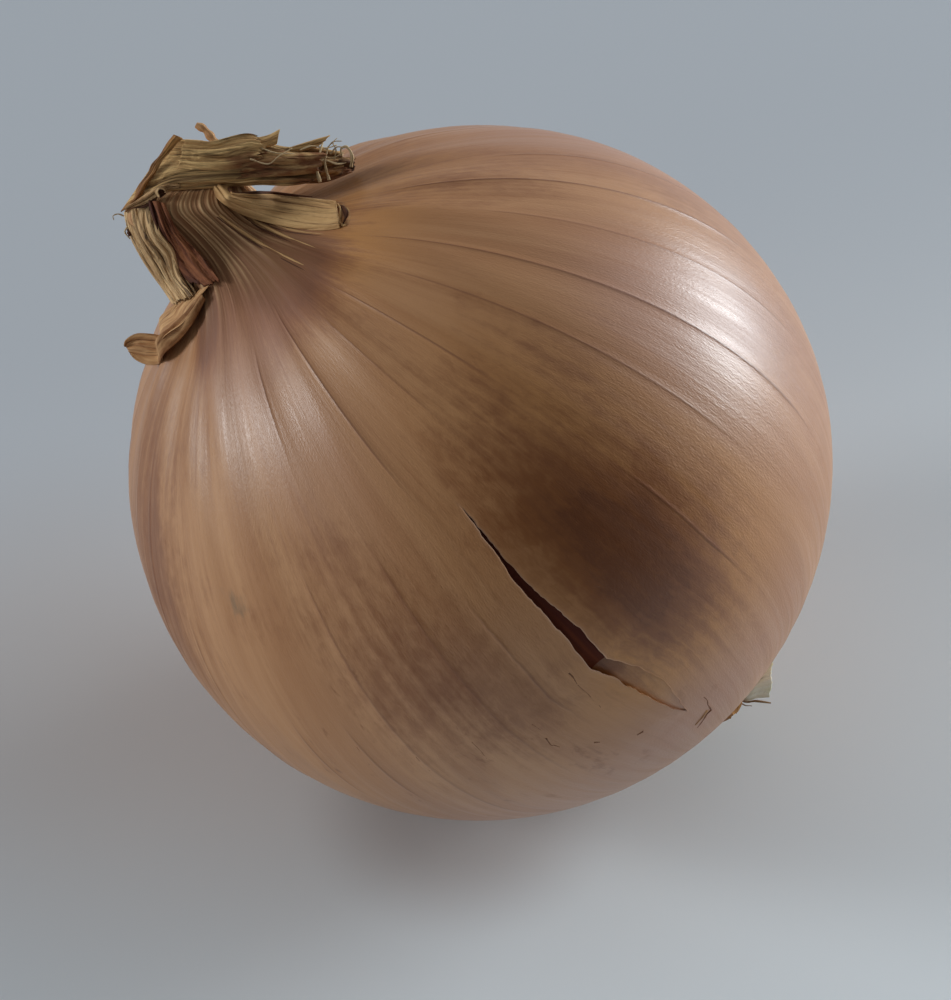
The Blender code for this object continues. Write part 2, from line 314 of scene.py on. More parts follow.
skinFinish = {
    "light": (0.57, 0.285, 0.125),
    "tan": (0.44, 0.197, 0.075),
    "brown": (0.27, 0.092, 0.022),
    "dark": (0.125, 0.030, 0.005),
    "golden": (0.60, 0.26, 0.055),
    "rosyAndSheen": (0.50, 0.262, 0.178),
    "vein": (0.17, 0.05, 0.018),
    "smudge": (0.20, 0.135, 0.075),
    # the colour of the painted shade in the furrows by the neck
    "neck": (0.21, 0.088, 0.029),
    # the colour of the painted light on the crests of the neck's pleats
    "crestHighlight": (0.86, 0.55, 0.27),
    "rim": (0.58, 0.34, 0.22),
    "roughness": (0.32, 0.44),
    "specular": 0.6,
}


def makeSkinFinish():
    material, nodes, shader = newMaterial("paperySkin")
    grain = nodes.attribute("grain", "Vector")
    broad = nodes.group(streaks, {"Grain": grain, "Across": 0.16, "Along": 0.02,
                                  "Detail": 4.0, "Wander": 0.5})
    thin = nodes.group(streaks, {"Grain": grain, "Across": 0.95, "Along": 0.025,
                                 "Detail": 3.0, "Wander": 0.3})
    hair = nodes.group(streaks, {"Grain": grain, "Across": 3.2, "Along": 0.06,
                                 "Detail": 2.0, "Wander": 0.2})
    cloud = nodes.group(blotches, {"Grain": grain, "Scale": 0.055, "Stretch": 0.7})
    fleck = nodes.group(blotches, {"Grain": grain, "Scale": 0.5, "Stretch": 0.35})
    colour = nodes.lay(nodes.spread(broad, 0.34, 0.66), (*skinFinish["tan"], 1), skinFinish["light"])
    colour = nodes.lay(nodes.attribute("golden"), colour, skinFinish["golden"])
    # the skin's own browns, and some painted shadow
    browningAndShadow = nodes.maths("ADD", nodes.attribute("browningAndShadow"), nodes.spread(cloud, 0.42, 0.75, -0.1, 0.3))
    streaky = nodes.maths("ADD", browningAndShadow, nodes.spread(thin, 0.3, 0.75, -0.09, 0.11), clamp=True)
    mottle = nodes.group(blotches, {"Grain": grain, "Scale": 1.1, "Stretch": 0.5})
    streaky = nodes.maths("ADD", streaky, nodes.spread(mottle, 0.3, 0.7, -0.08, 0.10), clamp=True)
    colour = nodes.lay(nodes.spread(streaky, 0.05, 0.75), colour, skinFinish["brown"])
    colour = nodes.lay(nodes.spread(streaky, 0.6, 1.25), colour, skinFinish["dark"])
    # pink tone of the skin, and painted sheen by the highlights
    colour = nodes.lay(nodes.attribute("rosyAndSheen"), colour, skinFinish["rosyAndSheen"])
    fleckMask = nodes.maths("MULTIPLY", nodes.spread(fleck, 0.60, 0.72), nodes.attribute("flecks"))
    colour = nodes.lay(fleckMask, colour, skinFinish["brown"])
    hairMask = nodes.spread(hair, 0.52, 0.78, 0.0, 0.14)
    colour = nodes.lay(hairMask, colour, skinFinish["brown"])
    smudgeEdge = nodes.maths("ADD", nodes.attribute("smudge"), nodes.spread(fleck, 0.3, 0.7, -0.3, 0.2))
    colour = nodes.lay(nodes.spread(smudgeEdge, 0.3, 0.95, 0.0, 0.7), colour, skinFinish["smudge"])
    # painted shade in the furrows between the neck's pleats
    shade = nodes.maths("MULTIPLY", nodes.attribute("neckShade"), nodes.spread(fleck, 0.3, 0.65, 0.55, 1.0))
    colour = nodes.lay(shade, colour, skinFinish["neck"])
    # painted highlight on the pleats' crests
    crestHighlight = nodes.maths("MULTIPLY", nodes.attribute("crestHighlight"), nodes.spread(mottle, 0.35, 0.6, 0.35, 1.0))
    colour = nodes.lay(crestHighlight, colour, skinFinish["crestHighlight"])
    veinMask = nodes.maths("MULTIPLY", nodes.attribute("vein"), nodes.spread(cloud, 0.3, 0.6, 0.45, 0.85))
    colour = nodes.lay(veinMask, colour, skinFinish["vein"])
    # painted shade: fine furrow lines by the neck are darkened to the shade colour, and sunk in the bump
    gather = nodes.group(streaks, {"Grain": grain, "Across": 0.42, "Along": 0.03,
                                   "Detail": 3.0, "Wander": 0.7})
    furrow = nodes.maths("MULTIPLY", nodes.spread(gather, 0.52, 0.60), nodes.attribute("dry"))
    colour = nodes.lay(nodes.maths("MULTIPLY", furrow, 0.42), colour, skinFinish["neck"])
    rim = nodes.maths("MULTIPLY", nodes.attribute("rim"), nodes.spread(fleck, 0.3, 0.6, 0.4, 1.0))
    colour = nodes.lay(rim, colour, skinFinish["rim"])
    nodes.feed(shader.inputs["Base Color"], colour)
    gloss = nodes.spread(thin, 0.3, 0.7, *skinFinish["roughness"])
    dull = nodes.maths("MULTIPLY", nodes.attribute("dull"), 0.42)
    nodes.feed(shader.inputs["Roughness"], nodes.maths("ADD", gloss, dull))
    shader.inputs["Specular IOR Level"].default_value = skinFinish["specular"]
    height = nodes.group(fineRelief, {"Grain": grain, "Wrinkles": 0.55, "Cells": 0.5})
    nodes.relief(shader, nodes.maths("SUBTRACT", height, furrow), 0.28)
    return material


scaleFinish = {
    "dark": (0.10, 0.015, 0.005),
    "light": (0.20, 0.042, 0.012),
    "roughness": (0.6, 0.75),
    "specular": 0.2,
}


def makeScaleFinish():
    material, nodes, shader = newMaterial("innerScale")
    grain = nodes.attribute("grain", "Vector")
    thin = nodes.group(streaks, {"Grain": grain, "Across": 0.8, "Along": 0.03,
                                 "Detail": 3.0, "Wander": 0.2})
    colour = nodes.lay(nodes.spread(thin, 0.35, 0.65), (*scaleFinish["dark"], 1), scaleFinish["light"])
    nodes.feed(shader.inputs["Base Color"], colour)
    shader.inputs["Specular IOR Level"].default_value = scaleFinish["specular"]
    nodes.feed(shader.inputs["Roughness"], nodes.spread(thin, 0.3, 0.7, *scaleFinish["roughness"]))
    height = nodes.group(fineRelief, {"Grain": grain, "Wrinkles": 0.7, "Cells": 0.2})
    nodes.relief(shader, height, 0.3)
    return material


leafFinishes = {
    # light and dark of the fibres, crack between them, which is also painted as shade into the creases'
    # valleys, tint that the piece's tint attribute brings in
    "foldLeaf": {"light": (0.95, 0.63, 0.27), "dark": (0.52, 0.285, 0.108), "crack": (0.08, 0.03, 0.013),
                 "tint": (0.24, 0.092, 0.035), "fibres": 2.6, "cracks": (0.62, 0.74), "relief": 0.7},
    "strandLeaf": {"light": (0.78, 0.52, 0.26), "dark": (0.46, 0.26, 0.11), "crack": (0.05, 0.018, 0.008),
                   "tint": (0.22, 0.09, 0.034), "fibres": 2.2, "cracks": (0.58, 0.66), "relief": 0.8},
    "redLeaf": {"light": (0.35, 0.128, 0.05), "dark": (0.15, 0.039, 0.013), "crack": (0.03, 0.008, 0.004),
                "tint": (0.08, 0.02, 0.008), "fibres": 1.8, "cracks": (0.62, 0.72), "relief": 0.7},
    "edgeLeaf": {"light": (0.58, 0.29, 0.09), "dark": (0.26, 0.10, 0.028), "crack": (0.02, 0.008, 0.005),
                 "tint": (0.045, 0.016, 0.009), "fibres": 2.0, "cracks": (0.6, 0.75), "relief": 0.6},
    "tongueLeaf": {"light": (0.70, 0.43, 0.185), "dark": (0.54, 0.30, 0.12), "crack": (0.13, 0.05, 0.018),
                   "tint": (0.13, 0.042, 0.016), "fibres": 1.5, "cracks": (0.64, 0.80), "relief": 0.5},
    "curledSkin": {"light": (0.72, 0.43, 0.20), "dark": (0.44, 0.21, 0.08), "crack": (0.16, 0.06, 0.022),
                   "tint": (0.25, 0.09, 0.026), "fibres": 1.2, "cracks": (0.64, 0.80), "relief": 0.4},
    "paleFibre": {"light": (0.74, 0.56, 0.32), "dark": (0.42, 0.27, 0.13), "crack": (0.1, 0.05, 0.03),
                  "tint": (0.26, 0.12, 0.05), "fibres": 3.0, "cracks": (0.7, 0.9), "relief": 0.4},
    # painted shade: dark lines laid in furrows, gaps, holes and cracks
    "paintedShadeMark": {"light": (0.12, 0.042, 0.016), "dark": (0.07, 0.022, 0.009), "crack": (0.04, 0.012, 0.006),
                 "tint": (0.27, 0.115, 0.055), "fibres": 2.0, "cracks": (0.7, 0.9), "relief": 0.2},
    "rootFibre": {"light": (0.62, 0.46, 0.25), "dark": (0.34, 0.19, 0.085), "crack": (0.1, 0.04, 0.02),
                  "tint": (0.20, 0.09, 0.035), "fibres": 2.4, "cracks": (0.7, 0.85), "relief": 0.5},
    # pale as the scrap is, and painted paler still for the light that shines through it
    "creamScrap": {"light": (1.0, 0.95, 0.78), "dark": (0.94, 0.86, 0.64), "crack": (0.3, 0.2, 0.1),
                   "tint": (0.84, 0.78, 0.36), "fibres": 1.6, "cracks": (0.7, 0.85), "relief": 0.4},
}


def makeLeafFinish(name):
    look = leafFinishes[name]
    material, nodes, shader = newMaterial(name)
    grain = nodes.attribute("grain", "Vector")
    fibre = nodes.group(streaks, {"Grain": grain, "Across": look["fibres"], "Along": 0.16,
                                  "Detail": 4.0, "Wander": 0.5})
    crack = nodes.group(streaks, {"Grain": grain, "Across": 0.7 * look["fibres"], "Along": 0.11,
                                  "Detail": 2.0, "Wander": 0.9})
    cloud = nodes.group(blotches, {"Grain": grain, "Scale": 0.45, "Stretch": 0.5})
    colour = nodes.lay(nodes.spread(fibre, 0.34, 0.66), (*look["dark"], 1), look["light"])
    clouded = nodes.spread(cloud, 0.35, 0.7, -0.25, 0.35)
    tinted = nodes.maths("ADD", nodes.attribute("tint"), clouded, clamp=True)
    colour = nodes.lay(nodes.spread(tinted, 0.1, 0.9), colour, look["tint"])
    colour = nodes.lay(nodes.spread(crack, *look["cracks"], 0.0, 0.7), colour, look["crack"])
    # painted shade: the crack colour laid in the valleys of the creases
    colour = nodes.lay(nodes.attribute("creaseShade"), colour, look["crack"])
    nodes.feed(shader.inputs["Base Color"], colour)
    nodes.feed(shader.inputs["Roughness"], nodes.spread(fibre, 0.3, 0.7, 0.62, 0.82))
    shader.inputs["Specular IOR Level"].default_value = 0.3
    height = nodes.group(fineRelief, {"Grain": grain, "Wrinkles": 1.0, "Cells": 0.6})
    deep = nodes.maths("SUBTRACT", height, nodes.spread(crack, *look["cracks"], 0.0, 1.5))
    nodes.relief(shader, deep, look["relief"], 0.00025)
    return material


def makeTableFinish():
    material, nodes, shader = newMaterial("paleTable")
    place = nodes.add("ShaderNodeTexCoord").outputs["Object"]
    turned = nodes.add("ShaderNodeVectorRotate", {"Vector": place, "Angle": -radians(table["turn"])})
    away = nodes.add("ShaderNodeSeparateXYZ", {"Vector": turned.outputs[0]}).outputs["Y"]
    cloud = nodes.add("ShaderNodeTexNoise", {"Vector": place, "Scale": 9.0, "Detail": 2.0}).outputs["Fac"]
    uneven = nodes.maths("ADD", away, nodes.spread(cloud, 0.3, 0.7, -0.008, 0.008))
    near = nodes.spread(uneven, *table["fade"])
    colour = nodes.lay(near, (*table["colour"], 1), table["nearColour"])
    # painted shadow: each one darkens the floor's colour round its middle
    for middle, reach, left in table["paintedShadows"]:
        apart = nodes.add("ShaderNodeVectorMath", operation="DISTANCE")
        nodes.feed(apart.inputs[0], place)
        apart.inputs[1].default_value = middle
        colour = nodes.lay(nodes.spread(apart.outputs["Value"], *reach), colour, left, "MULTIPLY")
    nodes.feed(shader.inputs["Base Color"], colour)
    shader.inputs["Roughness"].default_value = table["roughness"]
    return material


def addTable():
    half = table["size"] / 2
    mesh = bpy.data.meshes.new("table")
    corners = [(-half, -half, 0), (half, -half, 0), (half, half, 0), (-half, half, 0)]
    mesh.from_pydata(corners, [], [(0, 1, 2, 3)])
    mesh.materials.append(makeTableFinish())
    top = bpy.data.objects.new("table", mesh)
    bpy.context.scene.collection.objects.link(top)


# Mesh helpers

def addPiece(name, points, faces, material, attributes, replaces=()):
    # points are in the bulb's frame; attributes are one number a point, but for the grain, a vector.
    mesh = bpy.data.meshes.new(name)
    mesh.from_pydata(points.reshape(-1, 3).tolist(), [], faces)
    mesh.materials.append(material)
    for label, values in attributes.items():
        kind, field = ("FLOAT_VECTOR", "vector") if label == "grain" else ("FLOAT", "value")
        layer = mesh.attributes.new(label, kind, "POINT")
        layer.data.foreach_set(field, values.astype(np.float32).ravel())
    mesh.transform(placeInScene)
    mesh.shade_smooth()
    mesh.update()
    piece = bpy.data.objects.new(name, mesh)
    bpy.context.scene.collection.objects.link(piece)
    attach(piece, "root")
    for node in replaces:
        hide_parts(node)
    return piece


def gridFaces(rows, columns, roundTrip=False):
    # Quads over points laid out row by row. roundTrip joins the last column to the first.
    faces = []
    for row in range(rows - 1):
        for column in range(columns if roundTrip else columns - 1):
            right = (column + 1) % columns
            low = row * columns
            high = low + columns
            faces.append((low + column, low + right, high + right, high + column))
    return faces


def endFaces(rows, columns):
    # The two faces that close a tube of points.
    last = (rows - 1) * columns
    return [tuple(range(columns - 1, -1, -1)), tuple(range(last, last + columns))]


def weldPoints(piece, distance):
    bm = bmesh.new()
    bm.from_mesh(piece.data)
    bmesh.ops.remove_doubles(bm, verts=bm.verts, dist=distance)
    bm.to_mesh(piece.data)
    bm.free()
    piece.data.shade_smooth()


def ease(low, high, value):
    x = np.clip((np.asarray(value, float) - low) / (high - low), 0.0, 1.0)
    return x * x * (3 - 2 * x)


def readOff(stops, at):
    # The value there of a line through (place, value) stops.
    places, values = zip(*stops)
    return np.interp(at, places, values)


def ripples(base, along, counts, seed, wander=0.6):
    # Uneven waves round the bulb. base and along are in radians, counts the waves in one turn.
    draw = np.random.default_rng(seed)
    total = np.zeros(np.broadcast(base, along).shape)
    for _ in range(14):
        count = draw.integers(counts[0], counts[1])
        phase = draw.uniform(0, 2 * pi)
        slide = draw.uniform(-wander, wander)
        beat = draw.uniform(0.6, 2.2)
        swell = 0.6 + 0.4 * np.cos(beat * 2 * along + draw.uniform(0, 2 * pi) + 2 * np.cos(base))
        total += swell * np.cos(count * base + phase + slide * count * 0.08 * np.sin(beat * along))
    return total / 5.0


# The outer skin, one sleeve from the neck's mouth to the root

skin = {
    "mouthLatitude": 6.0,          # degrees from the neck end
    "shoulderLatitude": 21.0,      # below this the meridian is a plain circle
    "rootLatitude": 169.5,
    "mouthRadius": 4.9,
    "mouthHeight": 43.5,
    "mouthSlant": 3.2,             # higher on the left than on the right
    "mouthFront": 2.2,             # and higher in front than behind
    "throatHeight": 38.6,
    "throatRadius": 4.5,
    "shoulderEase": 5.0,
    "flatDirection": radians(17),
    "long": 1.12,
    "short": 0.78,
    "gathers": 8,
    "gatherDepth": 0.35,
    "ridges": 24,
    "ridgeDepth": 0.12,
    "columns": 300,
    "neckRows": 32,
    "bodyRows": (20, 92, 20),      # above, beside and below the split
    "thickness": 0.16,
    "rootCurl": ((169.9, -0.25), (170.1, -0.9)),    # the rim at the root turns in
    "pleats": ((34, (0.8, 2.2), (15, 32), 1.0), (70, (0.6, 1.1), (13, 26), 0.55)),
    "pleatDepth": 0.42,
    "pleatSink": 0.3,              # how far the furrows lie under the plain skin, in pleat depths
    "neckShade": 0.32,             # how dark the painted shade in the furrows between the pleats is, and how pale the painted light on their crests
    "crestHighlight": 0.9,
    "patchMost": 0.8,              # the most that the rosy and painted-sheen patches and the golden patches cover
    # where it isn't quite round: towards which way, how high in mm, and how far it reaches in radians
    "bulges": (((0.234, 0.692, 0.684), -0.65, 0.42), ((0.790, 0.445, -0.420), 0.55, 0.6)),
    "collarRows": 14,              # the skin runs on up into the folded band
    "mouthAside": 0.6,
    "collarTo": (198, 176, 20.2),  # the middle of its upper end, placed in the picture
    "collarHalfLong": 4.1,
    "collarHalfDeep": 0.2,
    "collarSlant": (0.758, 0.892),
    "waveDepth": 0.022,            # long low waves that break up the highlight
    "veinHeight": 0.07,
    "veinWidth": 0.24,             # degrees
    "lean": 0.25,                  # the veins lean away from this direction as they go down
    "leanFrom": -47.0,
}
# Latitudes between which these come in or fade out on the way down the skin
spans = {
    "flatNeck": (8, 24),
    "neckLift": (8, 20),
    "throat": (10, 20),
    "sunkPleats": (12, 30),
    "gathers": (14, 48),
    "ridgesIn": (12, 26),
    "ridgesOut": (30, 80),
    "bulges": (20, 42),
    "waves": (20, 40),
    "furrowShade": (9, 27),
    "crests": (7, 20),
    "pullIn": (34, 60),            # towards the lips of the split
    "pullOut": (124, 150),
    "jagIn": (66, 70),
    "jagOut": (116, 122),
    "rimIn": (63, 68),
    "rimOut": (99, 108),
    "scaleSinks": (14, 60),
    "wedgeRosy": (108, 118),
    "wedgeGolden": (112, 122),
}
# Veins that stand out: direction, where each starts and ends, and how strong it is
clearVeins = [
    (-59.5, 18, 62, 1.0), (-34.0, 24, 60, 0.7), (-8.0, 24, 112, 0.9), (16.5, 24, 92, 0.9),
    (-33.5, 78, 112, 0.7), (-62.0, 74, 108, 0.7), (-91.5, 82, 110, 0.9), (-101.5, 80, 108, 0.8),
    (-77.0, 22, 46, 0.7), (4.5, 40, 104, 0.55), (-20.0, 30, 96, 0.6), (28.0, 40, 120, 0.6),
    (-46.0, 26, 58, 0.5), (-70.0, 60, 118, 0.45), (-84.0, 56, 128, 0.5), (-118.0, 60, 130, 0.6),
]
split = {
    "direction": -54.5,
    "span": (63, 125),             # latitudes between which the skin has closer rows
    # both lips by latitude and direction: open from the top, then a wedge without the outer layer
    "upperLip": [(65.5, -53.64), (69.5, -53.81), (74.2, -54.34), (78.4, -54.57), (83.7, -54.64),
                 (87.8, -54.33), (91.7, -54.24), (95.4, -54.6), (98.8, -54.88), (100.6, -54.0),
                 (102.6, -53.24), (109.1, -51.7), (113.6, -51.9), (122.4, -53.36)],
    "lowerLip": [(65.5, -53.64), (70.0, -54.36), (74.2, -54.77), (79.2, -55.75), (86.9, -56.09),
                 (92.2, -56.69), (97.8, -57.52), (99.6, -57.0), (103.3, -56.14), (111.2, -55.05),
                 (117.8, -54.45), (122.4, -53.36)],
    "upperLift": [(65.5, 0.0), (80, 0.12), (97, 0.3), (101, 0.1), (105, 0.0), (122.4, 0.0)],
    "lowerLift": [(65.5, 0.0), (75, 0.2), (97, 0.55), (104, 0.4), (118, 0.25), (122.4, 0.0)],
    "reach": 3.5,
    "follow": 7.0,                 # how far the skin beside it is pulled along
    "jag": 0.15,
    "roll": 0.35,                  # how far the edge turns back under the skin
}


def comingIn(name, latitude):
    return ease(*spans[name], latitude)


def fadingOut(name, latitude):
    return 1 - ease(*spans[name], latitude)


def cubic(t, start, first, second, end):
    # A cubic curve from the start to the end, drawn towards two places between them.
    s = 1 - t
    return s**3 * start + 3 * s * s * t * first + 3 * s * t * t * second + t**3 * end


def mouthHeight(direction):
    turned = direction - skin["flatDirection"]
    return skin["mouthHeight"] - skin["mouthSlant"] * np.cos(turned) - skin["mouthFront"] * np.sin(turned)


def meridian(direction, latitude):
    # Distance from the bulb's axis and height on it.
    angle = np.radians(latitude)
    shoulder = radians(skin["shoulderLatitude"])
    size = bulb["radius"]
    neckSpan = skin["shoulderLatitude"] - skin["mouthLatitude"]
    t = np.clip((latitude - skin["mouthLatitude"]) / neckSpan, -0.2, 1)
    ends = (size * sin(shoulder), size * cos(shoulder))
    easing = skin["shoulderEase"]
    hook = (ends[0] - easing * cos(shoulder), ends[1] + easing * sin(shoulder))
    radius = cubic(t, skin["mouthRadius"], skin["throatRadius"], hook[0], ends[0])
    height = cubic(t, mouthHeight(direction), skin["throatHeight"], hook[1], ends[1])
    onBulb = latitude >= skin["shoulderLatitude"]
    return np.where(onBulb, size * np.sin(angle), radius), np.where(onBulb, size * np.cos(angle), height)


def gathers(direction, latitude):
    wave = np.cos(skin["gathers"] * direction + 0.5 * np.sin(2 * direction))
    ridge = np.cos(skin["ridges"] * direction + 0.5)
    ridge = ridge * comingIn("ridgesIn", latitude) * fadingOut("ridgesOut", latitude)
    return skin["gatherDepth"] * fadingOut("gathers", latitude) * wave + skin["ridgeDepth"] * ridge


def unevenness(direction, latitude):
    angle = np.radians(latitude)
    outward = [np.sin(angle) * np.cos(direction), np.sin(angle) * np.sin(direction), np.cos(angle)]
    unit = np.stack(outward, axis=-1)
    total = 0
    for towards, size, reach in skin["bulges"]:
        away = np.arccos(np.clip(unit @ np.array(towards), -1, 1))
        total = total + size * np.exp(-(away / reach) ** 2)
    return total * comingIn("bulges", latitude)


def skinPoint(direction, latitude, lift=0.0):
    # direction in radians, latitude in degrees, lift over the plain skin in millimetres.
    direction, latitude, lift = np.broadcast_arrays(direction, np.asarray(latitude, float), lift)
    radius, height = meridian(direction, latitude)
    length = np.hypot(radius, height)
    outR = radius / length
    outH = height / length
    out = gathers(direction, latitude) + lift + unevenness(direction, latitude)
    radius = radius + outR * out + fadingOut("throat", latitude) * out * (1 - outR)
    height = height + outH * out * comingIn("neckLift", latitude)
    flat = fadingOut("flatNeck", latitude)
    turned = direction - skin["flatDirection"]
    along = radius * np.cos(turned) * (1 + flat * (skin["long"] - 1)) - flat * skin["mouthAside"]
    across = radius * np.sin(turned) * (1 + flat * (skin["short"] - 1))
    c = cos(skin["flatDirection"])
    s = sin(skin["flatDirection"])
    return np.stack([c * along - s * across, s * along + c * across, height], axis=-1)


def pressedFlat(points, height):
    above = points @ upInBulb + bulb["centreHeight"] - height
    return points - np.minimum(above, 0.0)[..., None] * upInBulb


def leaned(base, latitude):
    # The veins aren't true meridians: they lean away from one another down the front.
    down = np.clip(latitude, 14, 132) - 60
    return base + np.radians(skin["lean"] * np.sin(base - radians(skin["leanFrom"])) * down)


def veinList():
    draw = Random(11)
    veins = list(clearVeins)
    direction = -132.0
    while direction > -312:
        start = draw.uniform(18, 50)
        veins.append((direction, start, start + draw.uniform(35, 90), draw.uniform(0.35, 0.8)))
        direction -= draw.uniform(6, 12)
    return veins


def jaggedEdge(latitude, seed):
    draw = np.random.default_rng(seed)
    marks = np.arange(60, 130, 0.7)      # latitudes between which the edge runs straight
    steps = np.repeat(draw.uniform(-1, 1, len(marks) // 3 + 1), 3)[:len(marks)]
    rough = 0.6 * draw.uniform(-1, 1, len(marks)) + 0.8 * steps
    jagged = np.interp(latitude, marks, rough)
    return jagged * comingIn("jagIn", latitude) * fadingOut("jagOut", latitude)


def skinColumns():
    # Base directions from the split right round to it again, closer together at each vein.
    start = radians(split["direction"])
    even = np.linspace(start, start + 2 * pi, skin["columns"] + 1)
    extra = []
    for vein in veinList():
        around = start + (radians(vein[0]) - start) % (2 * pi)
        for step in (-1.6, -0.8, 0.0, 0.8, 1.6):
            extra.append(around + radians(step * skin["veinWidth"]))
    inside = [value for value in extra if start + 0.02 < value < start + 2 * pi - 0.02]
    near = np.array(inside)
    keep = [value for value in even if np.abs(near - value).min() > radians(skin["veinWidth"] * 0.5)]
    lips = [even[0], *(even[0] + np.radians((0.2, 0.55))), *(even[-1] - np.radians((0.55, 0.2))), even[-1]]
    return np.unique(np.concatenate([keep, inside, lips]))


def pleatList():
    draw = Random(23)
    pleats = []
    for count, widths, ends, share in skin["pleats"]:
        for index in range(count):
            direction = 360 * (index + draw.uniform(-0.35, 0.35)) / count
            wide = radians(draw.uniform(*widths))
            size = share * draw.uniform(0.45, 1.0)
            pleats.append((radians(direction), wide, size, draw.uniform(*ends)))
    return pleats


def pleatHeight(base, latitude):
    # Sharp uneven ridges that fan out of the neck.
    total = np.zeros(np.broadcast(base, latitude).shape)
    for direction, width, size, end in pleatList():
        away = np.abs((base - direction + pi) % (2 * pi) - pi)
        total = np.maximum(total, size * np.exp(-away / width) * (1 - ease(7, end, latitude)))
    return total - skin["pleatSink"] * fadingOut("sunkPleats", latitude)


# Places on the skin where its colour changes: latitude, direction, size along, size across, strength
# the skin's own browns, and painted shadow of the peeled strip: the patches at (17, -99), (19, -95) and
# (34, -108)
brownAndShadowPatches = [
    (87, -42, 15, 11, 0.72), (74, -37, 15, 8, 0.3), (66, -50, 16, 7, 0.3), (97, -43, 12, 10, 0.55),
    (60, -22, 16, 8, 0.12), (60, -122, 20, 14, 0.3), (118, -100, 16, 18, 0.15), (34, -108, 9, 12, 0.35),
    (13, -50, 6, 5, 0.8), (17, -36, 6, 5, 0.5), (94, -26, 14, 10, 0.3), (17, -99, 5, 2.5, 1.0),
    (92, -72, 20, 9, 0.2), (38, 30, 20, 14, 0.2), (23, -47, 8, 9, 0.75), (15, -38, 7, 11, 0.4),
    (19, -95, 7, 5, 0.6), (27, 38, 10, 12, 0.3), (112, -38, 14, 10, 0.3), (94, -86, 12, 10, 0.25),
    (79, -72, 18, 9, 0.45), (88, 6, 12, 10, 0.6), (60, -134, 24, 9, 0.35), (74, -88, 12, 8, 0.25),
    (62, 24, 26, 9, 0.25),
]
# pink tone of the skin, with painted sheen: the patches at (72, -5) and (45, -72) paint sheen by the two
# highlights, and the one at (25, -76) paints light under the pleats
rosyAndSheenPatches = [
    (72, -5, 14, 12, 0.8), (25, -76, 7, 9, 0.5), (45, -72, 16, 8, 0.35), (104, -28, 8, 7, 0.15),
    (100, 5, 24, 22, 0.5), (70, 44, 34, 16, 0.6), (128, -50, 14, 26, 0.75), (124, -100, 14, 20, 0.5),
    (60, 100, 40, 60, 0.35), (120, 160, 30, 60, 0.35),
]
goldenPatches = [
    (26, 34, 14, 22, 0.8), (99, -42, 14, 13, 0.8), (22, -20, 10, 10, 0.5), (107, -48, 8, 12, 0.8),
    (104, -25, 10, 10, 0.4), (62, -32, 18, 14, 0.5), (20, -48, 9, 10, 0.5),
]
dullPatches = [(22, -48, 9, 10, 1.0)]
fleckPatches = [
    (92, -82, 22, 22, 0.7), (112, -62, 18, 18, 0.35), (100, -100, 18, 16, 0.7), (60, -150, 40, 60, 0.4),
]
# painted shade among the pleats under the band, and under the peeled strip; the first patch takes shade
# away
neckPatches = [
    (24, -77, 8, 9, -0.4), (14, -42, 6, 9, 0.5), (13, -30, 7, 5, 0.4), (12.5, -52, 6, 4.5, 0.9),
    (14, -99, 5, 2.0, 0.9),
]
smudgePatches = [(60, -101.5, 2.0, 2.6, 1.0), (57.5, -103.5, 1.0, 2.0, 0.8)]


def makeCollar(points, smooth, direction):
    # Rows that carry the gathered skin on from the mouth up into the folded band. The mouth's plane is
    # aslant to the picture, so its directions are stretched to reach the ends of the collar.
    middle = fromPicture(*skin["collarTo"])
    unit = np.stack([np.cos(direction), np.sin(direction), 0 * direction], axis=-1)
    sideways = unit @ pictureRight / skin["collarSlant"][0]
    forward = unit @ pictureToward / skin["collarSlant"][1]
    top = (middle + skin["collarHalfLong"] * sideways[:, None] * pictureRight
           + skin["collarHalfDeep"] * forward[:, None] * pictureToward)
    relief = points[0] - smooth[0]
    mouth = points[0]
    rising = smooth[0] - smooth[1]
    rising /= np.linalg.norm(rising, axis=1, keepdims=True)
    reach = np.linalg.norm(top - mouth, axis=1, keepdims=True)
    knee = mouth + 0.45 * reach * rising
    top = top + 0.5 * relief
    t = np.linspace(1, 0, skin["collarRows"], endpoint=False)[:, None, None]
    return (1 - t) ** 2 * mouth + 2 * t * (1 - t) * knee + t**2 * top


def patchMask(patches, direction, latitude):
    total = np.zeros(direction.shape)
    for at, around, tall, wide, strength in patches:
        turned = (np.degrees(direction) - around + 180) % 360 - 180
        across = turned * np.sin(np.radians(latitude)) / wide
        along = (latitude - at) / tall
        total += strength * np.exp(-(across**2 + along**2) * 0.9)
    return total


def skinGrain(direction, latitude):
    # Where a point is along and across the skin, in millimetres, for the streaks of its finish.
    size = bulb["radius"]
    places = [size * np.cos(direction), size * np.sin(direction), size * np.radians(latitude)]
    return np.stack(np.broadcast_arrays(*places), axis=-1)


def skinRows():
    above, beside, below = skin["bodyRows"]
    top, bottom = split["span"]
    return np.concatenate([
        np.linspace(skin["mouthLatitude"], skin["shoulderLatitude"], skin["neckRows"], endpoint=False),
        np.linspace(skin["shoulderLatitude"], top, above, endpoint=False),
        np.linspace(top, bottom, beside, endpoint=False),
        np.linspace(bottom, skin["rootLatitude"], below),
    ])


def splitLips(base, latitude, direction):
    # Pulls the columns beside the seam onto the two lips, and gives how far each point lifts there.
    across = bulb["radius"] * np.sin(np.radians(latitude))
    natural = leaned(np.full_like(latitude, radians(split["direction"])), latitude)
    fade = comingIn("pullIn", latitude) * fadingOut("pullOut", latitude)
    lift = np.zeros_like(latitude)
    for side, away in (("upper", base - base[0]), ("lower", base[-1] - base)):
        away = away[None, :] * across
        jag = split["jag"] * jaggedEdge(latitude, 3 if side == "upper" else 8) / across
        wanted = np.radians(readOff(split[side + "Lip"], latitude)) + jag
        direction = direction + (wanted - natural) * fade * np.exp(-away / split["follow"])
        lift = lift + readOff(split[side + "Lift"], latitude) * np.exp(-away / split["reach"])
    return direction, lift


